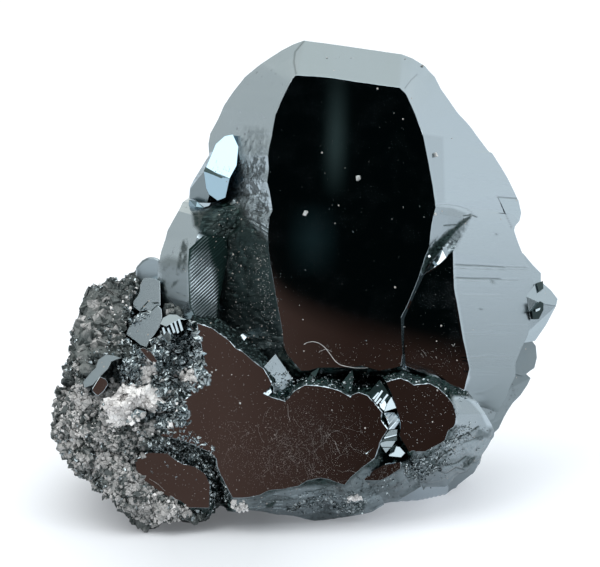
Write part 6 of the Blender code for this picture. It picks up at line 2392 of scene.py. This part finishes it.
class Studio:
    """The floor, the card that the mirror faces reflect, the lamps, the sky and the camera."""

    SHADOW_OFFSET = (0.008, 0.003, 0.0)
    SHADOW_STRETCH = (1.0, 0.25, 0.0)
    SHADOW_TONES = ((0.12, 0.124, 0.130), (0.38, 0.395, 0.42))
    FLOOR_TONES = ((0.61, 0.62, 0.64), (0.63, 0.64, 0.66))
    FLOOR_RADIUS = 1.6
    FLOOR_CORNERS = 96
    FLOOR_GAP = 0.00003
    CARD_HALF = 0.16
    CARD_BEHIND_EYE = 6.0
    BROWNS = ((0.125, 0.070, 0.055), (0.046, 0.023, 0.017))
    BLACK = (0.0010, 0.0028, 0.0030)
    STREAK = (0.052, 0.078, 0.074)
    GLOW = (0.016, 0.032, 0.034)
    SKY_SIDES = ((0.74, 0.77, 0.76), (0.93, 0.97, 0.93), (1.06, 1.12, 1.16))
    SKY_FRONT = ((0.07, 0.085, 0.088), (0.9, 0.95, 0.97), (2.6, 2.7, 2.75))

    def _stage_object(self, name: str, points: np.ndarray, faces: list, material: Material) -> Piece:
        """Make an object that isn't part of the specimen."""
        mesh = bpy.data.meshes.new(name)
        mesh.from_pydata(points.tolist(), [], faces)
        mesh.materials.append(material)
        obj = bpy.data.objects.new(name, mesh)
        bpy.context.scene.collection.objects.link(obj)
        return obj

    def floor(self) -> None:
        """Build the pale floor, a wide disc just under the specimen that glows with painted light, dimmer close
        to it as a painted shadow.
        """
        material, tree, shader, where = new_material("pale_floor")
        drift = tree.between(tree.cloud(where, 6.0, 2.0), 0.3, 0.7)
        offset = tree.add("ShaderNodeVectorMath", operation="MULTIPLY_ADD")
        for i, value in enumerate((where, self.SHADOW_STRETCH, self.SHADOW_OFFSET)):
            tree.put(offset.inputs[i], value)
        away = tree.add("ShaderNodeVectorMath", operation="LENGTH")
        tree.put(away.inputs[0], offset.outputs["Vector"])
        lifted = tree.between(away.outputs["Value"], 0.004, 0.020)
        tree.feed(
            shader,
            Base_Color=tree.blend(drift, *self.FLOOR_TONES),
            Roughness=0.9,
            Specular_IOR_Level=0.0,
            Emission_Color=tree.blend(lifted, *self.SHADOW_TONES),
            Emission_Strength=1.0,
        )
        count = self.FLOOR_CORNERS
        angle = np.linspace(0.0, 2.0 * math.pi, count, endpoint=False)
        ring = np.stack([np.cos(angle), np.sin(angle), np.zeros(count)], 1) * self.FLOOR_RADIUS
        ring[:, 2] = -self.FLOOR_GAP
        self._stage_object("floor", ring, [list(range(count))], material)

    def card(self) -> None:
        """Build the dark card round the camera, black above and brown below, which lights nothing.

        Its colour depends on the millimetres below the eye (low) and to its right (across). The
        brown starts below a curved edge, and a pale streak and a faint glow lie on the black.
        """
        material, tree, shader, where = new_material("dark_card")
        tree.tree.nodes.remove(shader)
        height, across = tree.dot(where, UP_PLANE / MM), tree.dot(where, ACROSS / MM)
        low = tree.math("SUBTRACT", float(EYE @ UP_PLANE), height)
        run = tree.math("MAXIMUM", tree.math("ADD", across, 10.0), 1.5)
        edge = tree.math("SUBTRACT", tree.math("MULTIPLY", across, 0.22), tree.math("DIVIDE", 26.0, run))
        brown = tree.between(tree.math("SUBTRACT", low, edge), 4.4, 9.6)
        warm = tree.blend(tree.between(across, -14.0, 10.0), *self.BROWNS)
        axis = tree.math("ADD", tree.math("MULTIPLY", low, -0.03), 5.2)
        off = tree.math("ABSOLUTE", tree.math("SUBTRACT", across, axis))
        start, end = tree.between(low, -15.5, -24.0), tree.between(low, -27.5, -36.0, 1.0, 0.3)
        fade = tree.math("MULTIPLY", start, end)
        streak = tree.math("MULTIPLY", tree.between(off, 0.0, 2.4, 1.0, 0.0), fade)
        aside = tree.math("ABSOLUTE", tree.math("SUBTRACT", across, 1.8))
        above = tree.math("ABSOLUTE", tree.math("ADD", low, 8.0))
        aside, above = tree.between(aside, 0.0, 5.0, 1.0, 0.0), tree.between(above, 0.0, 7.0, 1.0, 0.0)
        dark = tree.blend(streak, self.BLACK, self.STREAK)
        dark = tree.blend(tree.math("MULTIPLY", aside, above), dark, self.GLOW)
        glow = tree.add("ShaderNodeEmission", Color=tree.blend(brown, dark, warm))
        tree.feed(tree.tree.nodes["Material Output"], Surface=glow.outputs[0])
        centre = EYE + OUT_OF_PLANE * self.CARD_BEHIND_EYE
        size = self.CARD_HALF / MM
        corners = [
            centre + ACROSS * a * size + UP_PLANE * b * size for a, b in ((-1, -1), (1, -1), (1, 1), (-1, 1))
        ]
        card = self._stage_object("dark_card", np.array(corners) * MM, [[0, 1, 2, 3]], material)
        card.visible_camera = False
        card.visible_shadow = False
        card.visible_diffuse = False

    def lamp(
        self, name: str, direction: Triple, distance: float, size: Pair, radiance: float, colour: Triple
    ) -> None:
        """Add a soft lamp that looks at the specimen.

        Args:
            name: Its name.
            direction: Where it stands, as (u, v, w) parts seen from the specimen.
            distance: How far away it is, in metres.
            size: Its width and height, in metres.
            radiance: How bright its face is.
            colour: Its colour.
        """
        light = bpy.data.lights.new(name, "AREA")
        light.shape = "RECTANGLE"
        light.size, light.size_y = size
        light.energy = radiance * math.pi * size[0] * size[1]
        light.color = colour
        lamp = bpy.data.objects.new(name, light)
        u, v, w = direction
        way = Vector(ACROSS * u + UP_PLANE * v + OUT_OF_PLANE * w).normalized()
        middle = Vector((0.0, 0.0, 0.02))
        lamp.location = middle + way * distance
        lamp.rotation_euler = way.to_track_quat("Z", "Y").to_euler()
        lamp.visible_camera = False
        bpy.context.scene.collection.objects.link(lamp)

    def sky(self) -> None:
        """Make the sky: bright behind, above and at the sides, dim in front, white to the camera."""
        world = bpy.data.worlds.new("light_tent")
        bpy.context.scene.world = world
        world.use_nodes = True
        tree = Tree(world.node_tree)
        where = tree.add("ShaderNodeTexCoord").outputs["Generated"]
        upright = np.array([0.0, 0.0, 1.0])
        facing, right, up = (tree.dot(where, axis) for axis in (OUT_OF_PLANE, ACROSS, upright))
        left_tone, middle_tone, right_tone = self.SKY_SIDES
        tone = tree.blend(tree.between(right, -0.9, 0.0), left_tone, middle_tone)
        tone = tree.blend(tree.between(right, 0.0, 0.9), tone, right_tone)
        low_tone, high_tone, top_tone = self.SKY_FRONT
        front = tree.blend(tree.between(up, 0.25, 0.85), low_tone, high_tone)
        front = tree.blend(tree.between(up, 0.86, 0.95), front, top_tone)
        colour = tree.blend(tree.between(facing, 0.22, -0.10, 0.0, 1.0), front, tone)
        camera = tree.add("ShaderNodeLightPath").outputs["Is Camera Ray"]
        tree.feed(world.node_tree.nodes["Background"], Color=tree.blend(camera, colour, (1.0, 1.0, 1.0)))

    def camera(self) -> None:
        """Add the camera at the photograph's angle and set the view's plain colours."""
        data = bpy.data.cameras.new("camera")
        data.sensor_width = 36.0
        data.lens = data.sensor_width * VIEW_DISTANCE / (STEP_MM * FRAME_WIDTH)
        data.clip_start = 0.01
        data.clip_end = 20.0
        camera = bpy.data.objects.new("camera", data)
        camera.location = Vector(EYE * MM)
        camera.rotation_euler = Vector(OUT_OF_PLANE).to_track_quat("Z", "Y").to_euler()
        scene = bpy.context.scene
        scene.collection.objects.link(camera)
        scene.camera = camera
        scene.view_settings.view_transform = "Standard"
        scene.view_settings.look = "None"

    def build(self) -> None:
        """Build everything round the specimen."""
        self.floor()
        self.card()
        self.lamp("key_lamp", (-0.55, 0.62, 0.55), 0.42, (0.30, 0.30), 2.1, (1.0, 0.99, 0.97))
        self.lamp("fill_lamp", (0.72, 0.42, 0.52), 0.45, (0.14, 0.18), 3.0, (0.95, 0.98, 1.0))
        self.sky()
        self.camera()


def main() -> None:
    """Load the frame, then build every piece and the studio round it."""
    logging.basicConfig(level=logging.INFO, format="%(message)s")
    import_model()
    shop = Workshop()
    LOG.info(BIG_CRYSTAL.name)
    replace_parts(BIG_CRYSTAL.build(shop), "hematite_crystals")
    for part in (CrystalBack(), *PLATES, StripedFace(), WALL_FACE, CombCrystal(), *SHARDS, *CHIPS, *TABLETS):
        LOG.info(getattr(part, "name", type(part).__name__))
        part.build(shop)
    LOG.info("rock and quartz")
    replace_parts(Rock().build(shop), "granular_matrix")
    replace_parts(QuartzPatch().build(shop), "quartz_patch")
    tree = shop.surface()
    for masses, material, slot in (
        (MASSES, shop.flake, "hematite"),
        (QUARTZ_MASSES, shop.quartz, "quartz"),
        (ROCK_MASSES, shop.rock, "matrix"),
    ):
        for mass in masses:
            LOG.info(mass.name)
            mass.build(shop, tree, material, slot)
    LOG.info("lint and dust")
    litter = Litter()
    litter.fibres(shop, tree)
    litter.specks(shop, tree)
    Studio().build()


if __name__ == "__main__":
    main()
